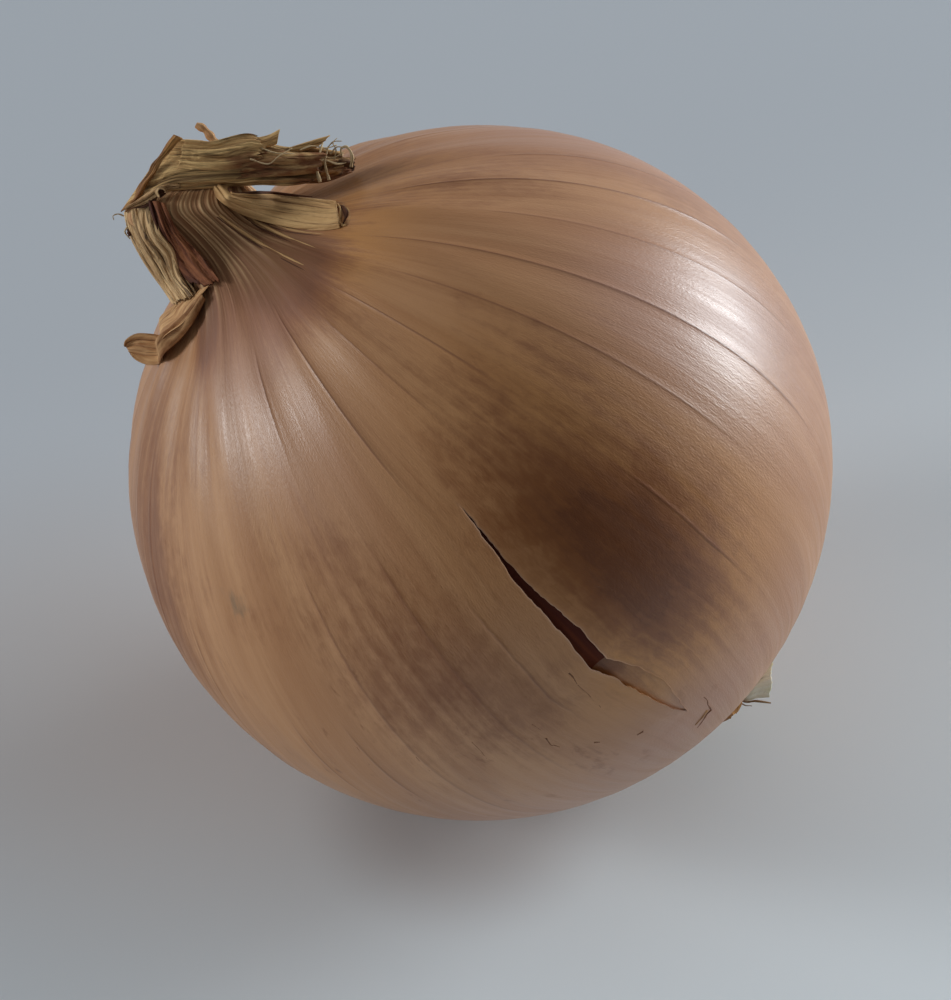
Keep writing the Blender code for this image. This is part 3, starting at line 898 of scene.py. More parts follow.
def addLipRims(points, rows, faces, values):
    # Where the split is open, each lip is rolled under: its thickness, and a strip of its underside.
    wide = points.shape[1]
    gap = np.linalg.norm(points[:, 0] - points[:, -1], axis=1)
    isOpen = np.flatnonzero((rows > 60) & (gap > 1e-4))
    span = np.arange(isOpen[0] - 1, isOpen[-1] + 2)
    flat = [points.reshape(-1, 3)]
    added = {label: [] for label in values}
    count = points.shape[0] * wide
    for edge, inner in ((0, 3), (wide - 1, wide - 4)):
        lip = points[span, edge]
        out = lip / np.linalg.norm(lip, axis=1, keepdims=True)
        back = points[span, inner] - lip
        back = back / np.linalg.norm(back, axis=1, keepdims=True)
        openness = np.clip(gap[span] / 0.3, 0, 1)[:, None]
        strips = [lip - openness * (skin["thickness"] * out - 0.02 * back),
                  lip - openness * (1.5 * skin["thickness"] * out - split["roll"] * back)]
        ids = [span * wide + edge]
        for strip in strips:
            ids.append(np.arange(count, count + len(span)))
            flat.append(strip)
            count += len(span)
        for near, far in zip(ids[:-1], ids[1:]):
            for row in range(len(span) - 1):
                quad = (near[row], far[row], far[row + 1], near[row + 1])
                faces.append(tuple(int(corner) for corner in (quad if edge == 0 else quad[::-1])))
        for label, value in values.items():
            added[label].append(np.concatenate([value[span, edge]] * 2))
    return np.concatenate(flat), added


def makeOuterSkin(material):
    base = skinColumns()
    rows = skinRows()
    latitude = np.repeat(rows[:, None], len(base), 1)
    direction = leaned(base[None, :], latitude)
    direction, lift = splitLips(base, latitude, direction)
    waves = ripples(base[None, :], np.radians(latitude), (24, 80), 5)
    lift = lift + skin["waveDepth"] * waves * comingIn("waves", latitude)
    pleat = pleatHeight(base[None, :], latitude)
    lift = lift + skin["pleatDepth"] * pleat
    vein = np.zeros_like(latitude)
    for around, start, end, strength in veinList():
        away = np.abs((base - radians(around) + pi) % (2 * pi) - pi) / radians(skin["veinWidth"])
        shown = ease(start, start + 8, latitude) * (1 - ease(end - 14, end, latitude))
        vein = np.maximum(vein, strength * shown * np.clip(1.25 - away, 0, 1)[None, :])
    lift = lift + skin["veinHeight"] * vein
    points = pressedFlat(skinPoint(direction, latitude, lift), 0.0)
    # the collar goes on from the mouth, and the rim at the root turns in
    smooth = skinPoint(direction[:2], latitude[:2])
    ends = [skinPoint(direction[-1:], np.full((1, len(base)), at), curl) for at, curl in skin["rootCurl"]]
    points = np.concatenate([makeCollar(points, smooth, direction[0]), points] + ends, axis=0)
    collar = skin["collarRows"]
    tail = len(skin["rootCurl"])

    def extended(grid):
        # With the rows of the collar and of the rim added.
        return np.concatenate([np.repeat(grid[:1], collar, 0), grid, np.repeat(grid[-1:], tail, 0)], axis=0)

    rows = np.concatenate([np.linspace(2.5, 6, collar, endpoint=False), rows,
                           [at for at, curl in skin["rootCurl"]]])
    latitude = np.repeat(rows[:, None], len(base), 1)
    direction = extended(direction)
    pleat = extended(pleat)
    raised = pleat + skin["pleatSink"] * fadingOut("sunkPleats", latitude)
    # painted shade in the furrows between the pleats
    neckShade = fadingOut("furrowShade", latitude) * skin["neckShade"] * (1 - ease(0.02, 0.2, raised))
    dry = fadingOut("flatNeck", latitude)

    def patches(places, most=1.0, ground=0.0):
        return np.clip(ground + patchMask(places, direction, latitude), 0, most)

    onRim = np.zeros_like(latitude)
    onRim[:, [0, 1, -2, -1]] = (0.8, 0.2, 0.2, 0.8)
    values = {
        "grain": skinGrain(base[None, :], latitude),
        "vein": extended(vein),
        "browningAndShadow": patchMask(brownAndShadowPatches, direction, latitude),
        "rosyAndSheen": patches(rosyAndSheenPatches, skin["patchMost"]),
        "flecks": patches(fleckPatches),
        "smudge": patches(smudgePatches),
        "neckShade": patches(neckPatches, ground=neckShade),
        # painted light on the crests of the pleats
        "crestHighlight": fadingOut("crests", latitude) * ease(0.0, 0.5, raised) * skin["crestHighlight"],
        "dry": dry,
        "dull": patches(dullPatches, ground=dry),
        "golden": patches(goldenPatches, skin["patchMost"]),
        "rim": onRim * comingIn("rimIn", latitude) * fadingOut("rimOut", latitude),
    }
    faces = gridFaces(len(latitude), len(base))
    flat, added = addLipRims(points, rows, faces, values)
    attributes = {}
    for label, value in values.items():
        body = value.reshape(-1, 3) if value.ndim == 3 else value.ravel()
        attributes[label] = np.concatenate([body] + added[label])
    piece = addPiece("papery_skin", flat, faces, material, attributes, ["outer_skin"])
    weldPoints(piece, 1e-7)
    return BVHTree.FromPolygons(flat.tolist(), faces)


# The scale under the skin, seen through the split

scale = {
    "columns": 160,
    "rows": 90,
    "under": 0.42,            # how far it lies under the skin, and how much farther at the neck
    "underAtNeck": 0.35,
    "waveDepth": 0.03,
    "restHeight": 0.3,        # its flat spot lies this far over the table
    "neckLatitude": 14.0,
    "rootLatitude": 166.0,
}


def makeInnerScale(material):
    base = np.linspace(-pi, pi, scale["columns"], endpoint=False)
    rows = np.linspace(scale["neckLatitude"], scale["rootLatitude"], scale["rows"])
    latitude = np.repeat(rows[:, None], len(base), 1)
    direction = leaned(base[None, :], latitude)
    lift = -scale["under"] - scale["underAtNeck"] * fadingOut("scaleSinks", latitude)
    lift = lift + scale["waveDepth"] * ripples(base[None, :], np.radians(latitude), (20, 60), 9)
    points = pressedFlat(skinPoint(direction, latitude, lift), scale["restHeight"])
    faces = gridFaces(len(rows), len(base), roundTrip=True) + endFaces(len(rows), len(base))
    grain = skinGrain(base[None, :], latitude)
    addPiece("inner_scale", points, faces, material, {"grain": grain}, ["bulb"])


# The layer that shows where the outermost one is torn away, at the lower end of the split
wedge = {
    "latitudes": (96.0, 126.0),
    "rows": 60,
    "columns": 18,
    "beyond": (2.5, 2.0),          # degrees past the lower and the upper lip
    "lift": [(96.0, -0.6), (99.0, -0.42), (103.0, -0.16), (112.0, -0.08), (120.0, -0.09), (126.0, -0.3)],
    "browningAndShadow": [(96.0, 1.0), (99.0, 0.85), (104.0, 0.35), (112.0, 0.22), (117.0, 0.05), (126.0, 0.0)],
    "golden": 0.6,
    "patchShare": 0.3,             # how much it has of the brown and painted-shadow patches of the skin
}


def makeWedge(material):
    rows = np.linspace(*wedge["latitudes"], wedge["rows"])
    part = np.linspace(0, 1, wedge["columns"])[None, :]
    low = readOff(split["lowerLip"], rows)[:, None] - wedge["beyond"][0]
    high = readOff(split["upperLip"], rows)[:, None] + wedge["beyond"][1]
    direction = np.radians(low + (high - low) * part)
    latitude = np.repeat(rows[:, None], wedge["columns"], 1)
    points = skinPoint(direction, latitude, readOff(wedge["lift"], latitude))
    browningAndShadow = wedge["patchShare"] * patchMask(brownAndShadowPatches, direction, latitude)
    browningAndShadow = browningAndShadow + readOff(wedge["browningAndShadow"], latitude)
    rosyAndSheen = np.clip(patchMask(rosyAndSheenPatches, direction, latitude), 0, skin["patchMost"])
    rosyAndSheen = rosyAndSheen * comingIn("wedgeRosy", latitude)
    golden = wedge["golden"] * fadingOut("wedgeGolden", latitude)
    attributes = {"grain": skinGrain(direction, latitude), "browningAndShadow": browningAndShadow, "rosyAndSheen": rosyAndSheen,
                  "golden": golden}
    faces = gridFaces(len(rows), wedge["columns"])
    addPiece("under_layer", points, faces, material, attributes)


# Dry leaves and fibres of the neck

def air(*stops):
    # Places in the picture, and how far in front of the bulb's centre they are, in millimetres.
    return [(x, y, "air", toward) for x, y, toward in stops]


def onSkin(*stops):
    # Places in the picture that lie on the skin, and their lift over it, in millimetres.
    return [(x, y, "skin", lift) for x, y, lift in stops]


def smoothRoute(points, count):
    # A curve through the points, in even steps along its length.
    points = np.asarray(points, float)
    before = np.vstack([2 * points[0] - points[1], points[:-1]])
    ahead = np.vstack([points[1:], 2 * points[-1] - points[-2]])
    tangents = (ahead - before) / 2
    t = np.linspace(0, 1, 24, endpoint=False)[:, None]
    pieces = []
    for index in range(len(points) - 1):
        a, b = points[index], points[index + 1]
        m, n = tangents[index], tangents[index + 1]
        pieces.append((2 * t**3 - 3 * t**2 + 1) * a + (t**3 - 2 * t**2 + t) * m
                      + (-2 * t**3 + 3 * t**2) * b + (t**3 - t**2) * n)
    dense = np.vstack(pieces + [points[-1:]])
    length = np.concatenate([[0], np.cumsum(np.linalg.norm(np.diff(dense, axis=0), axis=1))])
    wanted = np.linspace(0, length[-1], count)
    return np.stack([np.interp(wanted, length, dense[:, axis]) for axis in range(3)], axis=-1)


def placeStop(stop):
    if len(stop) == 3:      # a place in the bulb's own frame
        return np.array(stop, float)
    x, y, where, amount = stop
    if where == "air":
        return fromPicture(x, y, amount)
    eye = Vector(fromPicture(x, y, view["distance"] - 20))      # just in front of the camera
    aim = (Vector(fromPicture(x, y, 0)) - eye).normalized()
    hit, normal, _, _ = skinTree.ray_cast(eye, aim)
    if hit is None:
        hit, normal, _, _ = skinTree.find_nearest(Vector(fromPicture(x, y, 12)))
    outward = normal if normal.dot(hit) > 0 else -normal
    return np.array(hit + outward * amount)


def placeRoute(stops, count):
    return smoothRoute([placeStop(stop) for stop in stops], count)


def surfaceNormals(points, wrap=False):
    alongStep = np.gradient(points, axis=0)
    if wrap:
        acrossStep = np.roll(points, -1, 1) - np.roll(points, 1, 1)
    else:
        acrossStep = np.gradient(points, axis=1)
    normals = np.cross(alongStep, acrossStep)
    return normals / np.maximum(np.linalg.norm(normals, axis=2, keepdims=True), 1e-9)


def creases(across, along, count, seed, drift=0.3):
    # Heights from 0 down to -1 with sharp valleys that run along; across and along go from 0 to 1.
    draw = np.random.default_rng(seed)
    total = np.zeros(np.broadcast(across, along).shape)
    for _ in range(count):
        middle = draw.uniform(-0.05, 1.05)
        bend = draw.uniform(-drift, drift)
        curve = draw.uniform(-0.5, 0.5) * drift
        width = draw.uniform(0.012, 0.035)
        start = draw.uniform(-0.4, 0.6)
        end = start + draw.uniform(0.4, 1.2)
        away = np.abs(across - middle - bend * (along - 0.5) - curve * np.sin(3 * along))
        shown = ease(start, start + 0.2, along) * (1 - ease(end - 0.2, end, along))
        total = np.maximum(total, draw.uniform(0.4, 1.0) * np.exp(-away / width) * shown)
    return -total


def tornLengths(columns, amount, seed):
    # How far each column of a torn end falls short, in parts of the sheet's length.
    draw = np.random.default_rng(seed)
    coarse = np.interp(np.linspace(0, 1, columns), np.linspace(0, 1, 7), draw.uniform(0, 1, 7))
    fine = draw.uniform(0, 1, columns)
    return amount * (0.6 * coarse + 0.4 * fine)


plainSheet = {
    "rows": 60, "columns": 24, "thickness": 0.16, "slot": "dried_leaf", "replaces": [],
    "torn": 0.0, "tornStart": 0.0,      # how far its ends fall short, in parts of its length
    "bulge": 0.0, "cup": 0.0,           # of its middle and of its edges, towards the camera
    "nearer": 0.0,                      # the whole sheet, towards the camera
    "folds": (0, 0.0), "creases": 8, "creaseDepth": 0.12,
    # the tint all over, at its low edge, at its high edge, at its end and on its back
    "tint": 0.0, "tintLow": 0.0, "tintHigh": 0.0, "tintEnd": 0.0, "tintUnder": 0.2,
}


def makeSheet(name, own):
    # A thin leaf between two edges, with folds along it and torn ends.
    look = {**plainSheet, **own}
    rows = look["rows"]
    columns = look["columns"]
    seed = look["seed"]
    low = placeRoute(look["low"], rows)
    high = placeRoute(look["high"], rows)
    v = np.linspace(0, 1, rows)[:, None]
    u = np.linspace(0, 1, columns)[None, :]
    end = 1 - tornLengths(columns, look["torn"], seed)[None, :]
    begin = tornLengths(columns, look["tornStart"], seed + 50)[None, :]
    place = (begin + v * (end - begin)) * (rows - 1)
    floor = np.clip(np.floor(place).astype(int), 0, rows - 2)
    part = (place - floor)[..., None]
    lowPoints = low[floor] * (1 - part) + low[floor + 1] * part
    highPoints = high[floor] * (1 - part) + high[floor + 1] * part
    middle = lowPoints + (highPoints - lowPoints) * u[..., None]
    rise = look["bulge"] * 4 * u * (1 - u) + look["cup"] * (2 * u - 1) ** 2
    folds, foldDepth = look["folds"]
    wave = foldDepth * np.cos(2 * pi * (folds * u + 0.5 * np.sin(2.2 * v + 0.3 * seed)))
    valley = creases(u, v, look["creases"], seed)
    middle = middle + (rise + wave + look["nearer"])[..., None] * pictureToward
    normals = surfaceNormals(middle)
    if (normals @ pictureToward).mean() < 0:
        normals = -normals
    middle = middle + (look["creaseDepth"] * valley)[..., None] * normals
    taper = 0.35 + 0.65 * np.clip(np.minimum(u, 1 - u) * 6, 0, 1)      # thinner at both edges
    half = (look["thickness"] / 2 * taper * np.ones_like(v))[..., None] * normals
    ring = np.concatenate([middle + half, (middle - half)[:, ::-1]], axis=1)
    width = np.linalg.norm(highPoints - lowPoints, axis=2).mean()
    length = np.linalg.norm(np.diff(low, axis=0), axis=1).sum()
    acrossFlat = np.broadcast_to(u * width, middle.shape[:2])
    alongFlat = np.broadcast_to(v * length, middle.shape[:2])
    side = np.stack([acrossFlat, np.full_like(acrossFlat, seed * 7.0), alongFlat], axis=-1)
    grain = np.concatenate([side, side[:, ::-1] + (0, 3.0, 0)], axis=1)
    tint = look["tint"] + look["tintLow"] * (1 - u) + look["tintHigh"] * u + look["tintEnd"] * v
    tint = np.broadcast_to(tint, middle.shape[:2])
    tint = np.concatenate([tint, tint[:, ::-1] + look["tintUnder"]], axis=1)
    # painted shade in the valleys of the creases
    creaseShade = np.clip(-valley * 1.3 - 0.35, 0, 0.85)
    creaseShade = np.concatenate([creaseShade, creaseShade[:, ::-1] * 0.5], axis=1)
    faces = gridFaces(rows, 2 * columns, roundTrip=True)
    for row in (0, rows - 1):
        first = row * 2 * columns
        back = first + 2 * columns - 1
        for column in range(columns - 1):
            quad = (first + column, first + column + 1, back - 1 - column, back - column)
            faces.append(quad if row == rows - 1 else quad[::-1])
    addPiece(name, ring, faces, finishes[look["finish"]],
             {"grain": grain, "tint": tint, "creaseShade": creaseShade}, look["replaces"])


def makeBundle(name, look):
    # A thick flattened bundle of leaves between two edges, round at its start and torn open at its end.
    rows = look["rows"]
    columns = look["columns"]
    low = placeRoute(look["low"], rows)
    high = placeRoute(look["high"], rows)
    v = np.linspace(0, 1, rows)[:, None]
    turn = np.linspace(0, 2 * pi, columns, endpoint=False)[None, :]
    u = 0.5 - 0.5 * np.cos(turn)
    half = readOff(look["halfThickness"], v)
    points = low[:, None] + (high - low)[:, None] * u[..., None]
    points = points + (half * np.sin(turn))[..., None] * pictureToward
    normals = surfaceNormals(points, wrap=True)
    centre = (low + high)[:, None] / 2
    flip = np.sign(((points - centre) * normals).sum(axis=2).mean())
    normals = normals * flip
    around = turn / (2 * pi)
    draw = np.random.default_rng(look["seed"])
    big = np.zeros((rows, columns))
    for count in (5, 7, 9, 12):
        big += np.cos(count * turn + draw.uniform(0, 6.28) + draw.uniform(-2.5, 2.5) * v
                      + 0.8 * np.sin(draw.uniform(2, 6) * v)) / count
    valley = creases(around, v, look["creases"], look["seed"], drift=0.10)
    fade = ease(0.0, 0.06, v)
    points = points + (fade * (look["foldDepth"] * big + look["creaseDepth"] * valley))[..., None] * normals
    along = (high[-1] + low[-1] - high[-3] - low[-3]) / 4
    along = along / np.linalg.norm(along)
    jag = tornLengths(columns, look["torn"], look["seed"]) - look["torn"] / 2
    points = points + (v**5 * jag[None, :])[..., None] * along
    hollow = []
    for shrink, back in ((0.3, 0.5), (0.55, 1.8)):      # the torn end goes a little way in
        hollow.append(points[-1] - (points[-1] - points[-1].mean(axis=0)) * shrink - along * back)
    allPoints = np.concatenate([points, np.array(hollow)], axis=0)
    count = len(allPoints)
    faces = gridFaces(count, columns, roundTrip=True) + endFaces(count, columns)
    size = np.linalg.norm(high - low, axis=1).mean()
    length = np.linalg.norm(np.diff(low, axis=0), axis=1).sum()
    vAll = np.concatenate([v[:, 0], [1.0, 0.95]])[:, None]
    places = (size * 1.2 * np.cos(turn), size * 0.8 * np.sin(turn), vAll * length)
    grain = np.stack(np.broadcast_arrays(*places), axis=-1)
    front = np.clip(np.sin(turn), 0, 1)
    atEnd = look["tintEnd"] * ease(0.45, 0.95, vAll) * (1 - 0.5 * u)
    # tintLow darkens the low edge: painted shade on the band
    tint = look["tint"] + look["tintLow"] * (1 - u) + atEnd - 0.1 * front
    tint = np.broadcast_to(tint, (count, columns)).copy()
    # painted shade: the hollow of the torn end is as dark as the tint goes, and dark in its creases too
    tint[-2:] = 1.0
    creaseShade = np.clip(-valley * 1.25 - 0.3, 0, 0.9) * fade
    creaseShade = np.concatenate([creaseShade, np.full((2, columns), 0.8)], axis=0)
    addPiece(name, allPoints, faces, finishes[look["finish"]],
             {"grain": grain, "tint": tint, "creaseShade": creaseShade}, look["replaces"])


plainFibres = {
    "rows": 28, "sides": 6, "slot": "dried_leaf", "tint": 0.0,
    "flat": 0.6,      # how deep one is for its width
}


def makeFibres(name, own):
    # Thin round fibres, all in one piece. Each is its stops and then its radii from the start to the end.
    look = {**plainFibres, **own}
    rows = look["rows"]
    sides = look["sides"]
    points, faces, grain = [], [], []
    for index, (stops, *sizes) in enumerate(look["fibres"]):
        route = placeRoute(stops, rows)
        along = np.gradient(route, axis=0)
        along /= np.linalg.norm(along, axis=1, keepdims=True)
        across = np.cross(along, pictureToward)
        across /= np.linalg.norm(across, axis=1, keepdims=True)
        other = np.cross(along, across)
        first = len(points)
        size = np.interp(np.linspace(0, 1, rows), np.linspace(0, 1, len(sizes)), sizes)
        size = size * (1 + 0.18 * np.sin(np.linspace(0, 17, rows) + index))
        for row in range(rows):
            for corner in range(sides):
                angle = 2 * pi * corner / sides
                offset = size[row] * (cos(angle) * across[row] + look["flat"] * sin(angle) * other[row])
                points.append(route[row] + offset)
                grain.append((index + 0.4 * cos(angle), index * 3.1 + 0.4 * sin(angle), row * 0.25))
        for face in gridFaces(rows, sides, roundTrip=True) + endFaces(rows, sides):
            faces.append(tuple(first + corner for corner in face))
    points = np.array(points)
    blank = np.zeros(len(points))
    addPiece(name, points, faces, finishes[look["finish"]],
             {"grain": np.array(grain), "tint": blank + look["tint"], "creaseShade": blank})


foldBand = {
    "low": air((121, 211, 19.8), (140, 202, 21.0), (165, 191, 22.2), (200, 188, 22.6), (240, 186, 22.2),
               (280, 186, 21.4), (320, 183, 20.6), (345, 173, 19.8)),
    "high": air((172, 137, 23.0), (196, 140, 23.0), (215, 142, 23.0), (240, 137, 22.6), (262, 139, 22.1),
                (285, 145, 21.5), (312, 147, 21.0), (340, 153, 20.4)),
    # by how far along it
    "halfThickness": [(0.0, 0.1), (0.02, 0.6), (0.06, 1.1), (0.15, 1.5), (0.5, 1.55), (0.8, 1.2),
                      (1.0, 0.9)],
    # its low edge is painted darker by tintLow, as shade
    "creases": 60, "creaseDepth": 0.4, "foldDepth": 0.65, "torn": 2.4, "seed": 4, "tint": -0.15,
    "tintLow": 0.4, "tintEnd": 0.85, "finish": "foldLeaf", "slot": "dried_leaf",
    "replaces": ["neck_fold"], "rows": 150, "columns": 96,
}
neckSheets = {
    "fold_top": {
        "low": air((176, 168, 23.6), (205, 171, 24.0), (240, 171, 23.6), (282, 166, 22.7)),
        "high": air((183, 140, 24.2), (214, 141, 24.1), (246, 134, 23.6), (266, 138, 23.0)),
        "bulge": 0.4, "folds": (2.6, 0.2), "creases": 30, "creaseDepth": 0.24, "torn": 0.25,
        "tornStart": 0.05, "seed": 3, "finish": "foldLeaf", "columns": 48, "rows": 90, "nearer": 0.55,
        "tint": -0.2, "tintLow": 0.2, "tintEnd": 0.6,
    },
    "fold_inner": {
        "low": air((222, 180, 22.3), (262, 178, 22.3), (296, 176, 21.9), (328, 172, 21.4)),
        "high": air((236, 154, 23.2), (268, 151, 22.9), (300, 153, 22.2), (333, 154, 21.5)),
        "bulge": 0.5, "folds": (1.8, 0.22), "creases": 14, "creaseDepth": 0.25, "torn": 0.16,
        "tornStart": 0.3, "seed": 8, "finish": "foldLeaf", "columns": 32, "rows": 80, "nearer": 0.9,
        "tint": 0.65, "tintLow": 0.1,
    },
    "fold_lip": {
        "low": air((168, 189, 21.6), (190, 189, 21.8), (214, 186, 21.9), (240, 187, 21.6),
                   (262, 186, 21.4), (290, 187, 21.0), (316, 183, 20.8)),
        "high": air((170, 181, 22.3), (190, 179, 22.4), (214, 177, 22.4), (240, 180, 22.2),
                    (262, 177, 22.0), (290, 178, 21.7), (316, 180, 21.2)),
        "bulge": 0.3, "folds": (1.7, 0.16), "creases": 20, "creaseDepth": 0.2, "torn": 0.08,
        "tornStart": 0.1, "seed": 5, "finish": "foldLeaf", "tint": -0.1, "tintEnd": 0.75, "nearer": 0.75,
        "rows": 90, "columns": 30, "thickness": 0.1,
    },
    "fold_edge": {
        "low": air((121, 212, 20.6), (127, 204, 20.9), (134, 199, 21.2), (138, 187, 21.7),
                   (148, 174, 22.4), (152, 165, 22.8), (160, 156, 23.2), (167, 144, 23.7),
                   (174, 135, 24.0)),
        "high": air((128, 209, 21.0), (135, 203, 21.4), (143, 193, 21.9), (149, 182, 22.4),
                    (157, 172, 22.9), (163, 161, 23.4), (170, 153, 23.8), (177, 144, 24.1),
                    (183, 139, 24.3)),
        "bulge": 0.3, "folds": (0.9, 0.12), "creases": 8, "creaseDepth": 0.16, "seed": 6, "nearer": 0.35,
        "finish": "edgeLeaf", "tintLow": 0.7, "tint": -0.2,
    },
    "fold_corner": {
        "low": air((124, 214, 21.6), (134, 209, 22.1), (147, 206, 22.4), (158, 199, 22.8),
                   (168, 191, 22.9), (182, 188, 22.8)),
        "high": air((127, 207, 22.0), (137, 201, 22.5), (148, 193, 22.9), (158, 187, 23.1),
                    (169, 184, 23.1), (182, 185, 22.8)),
        "bulge": 0.45, "folds": (2.2, 0.16), "creases": 16, "creaseDepth": 0.22, "torn": 0.05,
        "tornStart": 0.06, "seed": 12, "finish": "strandLeaf", "rows": 60, "columns": 32, "nearer": 0.5,
        "tint": 0.2, "tintLow": 0.35,
    },
    "corner_curl": {
        "low": air((158, 198, 24.0), (155, 192, 24.1), (158, 187, 24.3), (165, 187, 24.3),
                   (168, 192, 24.2)),
        "high": air((160, 196, 24.4), (158, 192, 24.6), (160, 189, 24.7), (164, 190, 24.7),
                    (166, 193, 24.5)),
        "creases": 3, "creaseDepth": 0.05, "seed": 13, "rows": 30, "columns": 8, "finish": "strandLeaf",
        "tint": 0.1,
    },
    "fold_spike": {
        "low": air((246, 148, 22.9), (264, 148, 22.9), (277, 144, 22.8)),
        "high": air((250, 139, 23.0), (268, 135, 23.0), (280, 129, 23.0)),
        "bulge": 0.15, "creases": 4, "creaseDepth": 0.1, "seed": 14, "rows": 30, "columns": 14,
        "finish": "foldLeaf", "tint": -0.1,
    },
    "fold_tip": {
        "low": air((286, 153, 22.0), (303, 151, 21.8), (321, 146, 21.6)),
        "high": air((291, 147, 22.1), (310, 141, 22.0), (333, 134, 21.8)),
        "bulge": 0.2, "creases": 5, "creaseDepth": 0.12, "torn": 0.12, "seed": 15, "rows": 40,
        "columns": 16, "finish": "foldLeaf", "tint": -0.15,
    },
    "fold_end": {
        "low": air((318, 181, 20.6), (338, 177, 20.0), (357, 169, 19.0)),
        "high": air((324, 165, 21.2), (342, 158, 20.6), (357, 156, 19.6)),
        "bulge": 0.7, "folds": (1.3, 0.25), "creases": 9, "creaseDepth": 0.25, "torn": 0.2, "seed": 16,
        "rows": 40, "columns": 22, "finish": "edgeLeaf", "tint": 0.6,
    },
    "neck_strand_leaf": {
        "low": (air((124, 212, 19.9), (127, 230, 19.2), (139, 254, 17.8), (151, 273, 16.2),
                    (164, 291, 14.6))
                + onSkin((178, 307, 0.5))),
        "high": (air((156, 203, 23.0))
                 + onSkin((161, 226, 0.8), (173, 248, 0.8), (187, 270, 0.8), (197, 287, 0.7),
                          (203, 299, 0.4))),
        "bulge": 0.9, "folds": (4.3, 0.13), "creases": 40, "creaseDepth": 0.3, "torn": 0.1,
        "thickness": 0.3, "seed": 17, "rows": 120, "columns": 72, "finish": "strandLeaf",
        "replaces": ["neck_strand"], "tint": -0.2, "tintEnd": 0.1,
    },
    "red_leaf": {
        "low": onSkin((150, 203, 0.4), (156, 226, 0.3), (166, 250, 0.3), (180, 272, 0.3),
                      (196, 289, 0.3)),
        "high": onSkin((166, 205, 0.4), (175, 228, 0.6), (192, 248, 0.7), (210, 266, 0.6),
                       (226, 288, 0.15)),
        "bulge": 0.3, "folds": (2.4, 0.16), "creases": 20, "creaseDepth": 0.3, "torn": 0.12, "seed": 19,
        "rows": 80, "columns": 36, "finish": "redLeaf", "tintLow": 0.9, "tint": -0.1, "nearer": 0.3,
    },
    "shoulder_tongue": {
        "low": (air((210, 188, 21.4))
                + onSkin((221, 203, 0.15), (240, 214, 0.2), (265, 223, 0.2), (298, 229, 0.0),
                         (322, 230, -0.1), (340, 228, -0.05))),
        "high": (air((222, 182, 21.4), (232, 190, 22.8))
                 + onSkin((244, 196, 1.7), (268, 203, 1.6), (294, 204, 1.1), (318, 203, 0.5),
                          (337, 204, 0.3))),
        "bulge": 0.8, "folds": (2.9, 0.1), "creases": 22, "creaseDepth": 0.16, "seed": 21,
        "thickness": 0.14, "rows": 110, "columns": 56, "finish": "tongueLeaf",
        "replaces": ["shoulder_leaf"], "nearer": 0.3, "tint": -0.15, "tintHigh": 0.4, "tintEnd": -0.35,
    },
    "curled_strip": {
        "low": (onSkin((186, 298, 0.35), (177, 307, 0.6), (170, 322, 1.2))
                + air((165, 335, 13.6), (150, 334, 13.5), (136, 334, 13.3), (126, 340, 13.1),
                      (124, 346, 13.0))),
        "high": (onSkin((212, 285, 0.35), (205, 306, 1.3), (194, 327, 1.9), (178, 345, 2.2))
                 + air((162, 361, 16.0), (150, 365, 15.2), (138, 361, 14.4), (130, 354, 13.6))),
        "bulge": -0.3, "cup": 0.3, "folds": (2.1, 0.14), "creases": 20, "creaseDepth": 0.14,
        "torn": 0.05, "thickness": 0.2, "seed": 25, "rows": 100, "columns": 44, "finish": "curledSkin",
        "slot": "papery_skin", "replaces": ["peeled_strip"], "tint": -0.15, "tintEnd": 0.45,
        "tintUnder": 0.5,
    },
    "strip_roll": {
        "low": (onSkin((209, 294, 1.0), (200, 315, 1.9), (188, 332, 2.3), (174, 346, 2.5))
                + air((160, 358, 16.2))),
        "high": (onSkin((208, 300, 0.4), (200, 324, 0.8), (188, 342, 1.0), (173, 358, 1.2))
                 + air((159, 366, 15.2))),
        "bulge": 0.15, "folds": (1.0, 0.08), "creases": 6, "creaseDepth": 0.08, "thickness": 0.16,
        "seed": 27, "rows": 60, "columns": 16, "finish": "curledSkin", "slot": "papery_skin",
        "tint": 0.5, "tintLow": 0.1,
    },
}
neckFibres = {
    "fibres": [
        (air((320, 182, 21.9), (317, 168, 22.6), (320, 152, 22.5), (323, 142, 22.0)), 0.17, 0.08),
        (air((329, 180, 21.5), (325, 163, 22.3), (328, 148, 22.1)), 0.14, 0.07),
        (air((250, 159, 24.6), (268, 164, 24.4), (279, 156, 24.2), (292, 148, 23.6)), 0.08, 0.05),
        (air((258, 147, 24.0), (276, 153, 23.9), (294, 154, 23.3), (310, 158, 22.7)), 0.08, 0.04),
        (air((300, 150, 22.9), (312, 146, 22.5), (326, 148, 22.0), (337, 145, 21.5)), 0.1, 0.05),
        (air((303, 157, 22.9), (318, 155, 22.5), (332, 158, 21.9), (344, 152, 21.3)), 0.09, 0.04),
        (air((326, 150, 21.7), (333, 142, 21.6), (342, 141, 21.3)), 0.09, 0.04),
        (air((330, 154, 21.5), (337, 147, 21.5), (345, 148, 21.2)), 0.1, 0.05),
        (air((334, 160, 21.5), (336, 150, 21.6), (333, 143, 21.5), (337, 138, 21.3)), 0.08, 0.04),
        (air((351, 167, 20.8), (352, 156, 21.3), (347, 147, 21.5), (341, 149, 21.4), (342, 156, 21.1)),
         0.19, 0.1),
        (air((312, 172, 22.2), (322, 160, 22.2), (338, 164, 21.4), (353, 160, 20.4)), 0.12, 0.08),
        (air((124, 216, 20.4), (118, 214, 20.6), (113, 216, 20.7), (114, 220, 20.7)), 0.09, 0.04),
        (air((128, 226, 20.2), (125, 232, 20.0), (130, 239, 19.6)), 0.1, 0.05),
    ],
    "finish": "paleFibre",
}
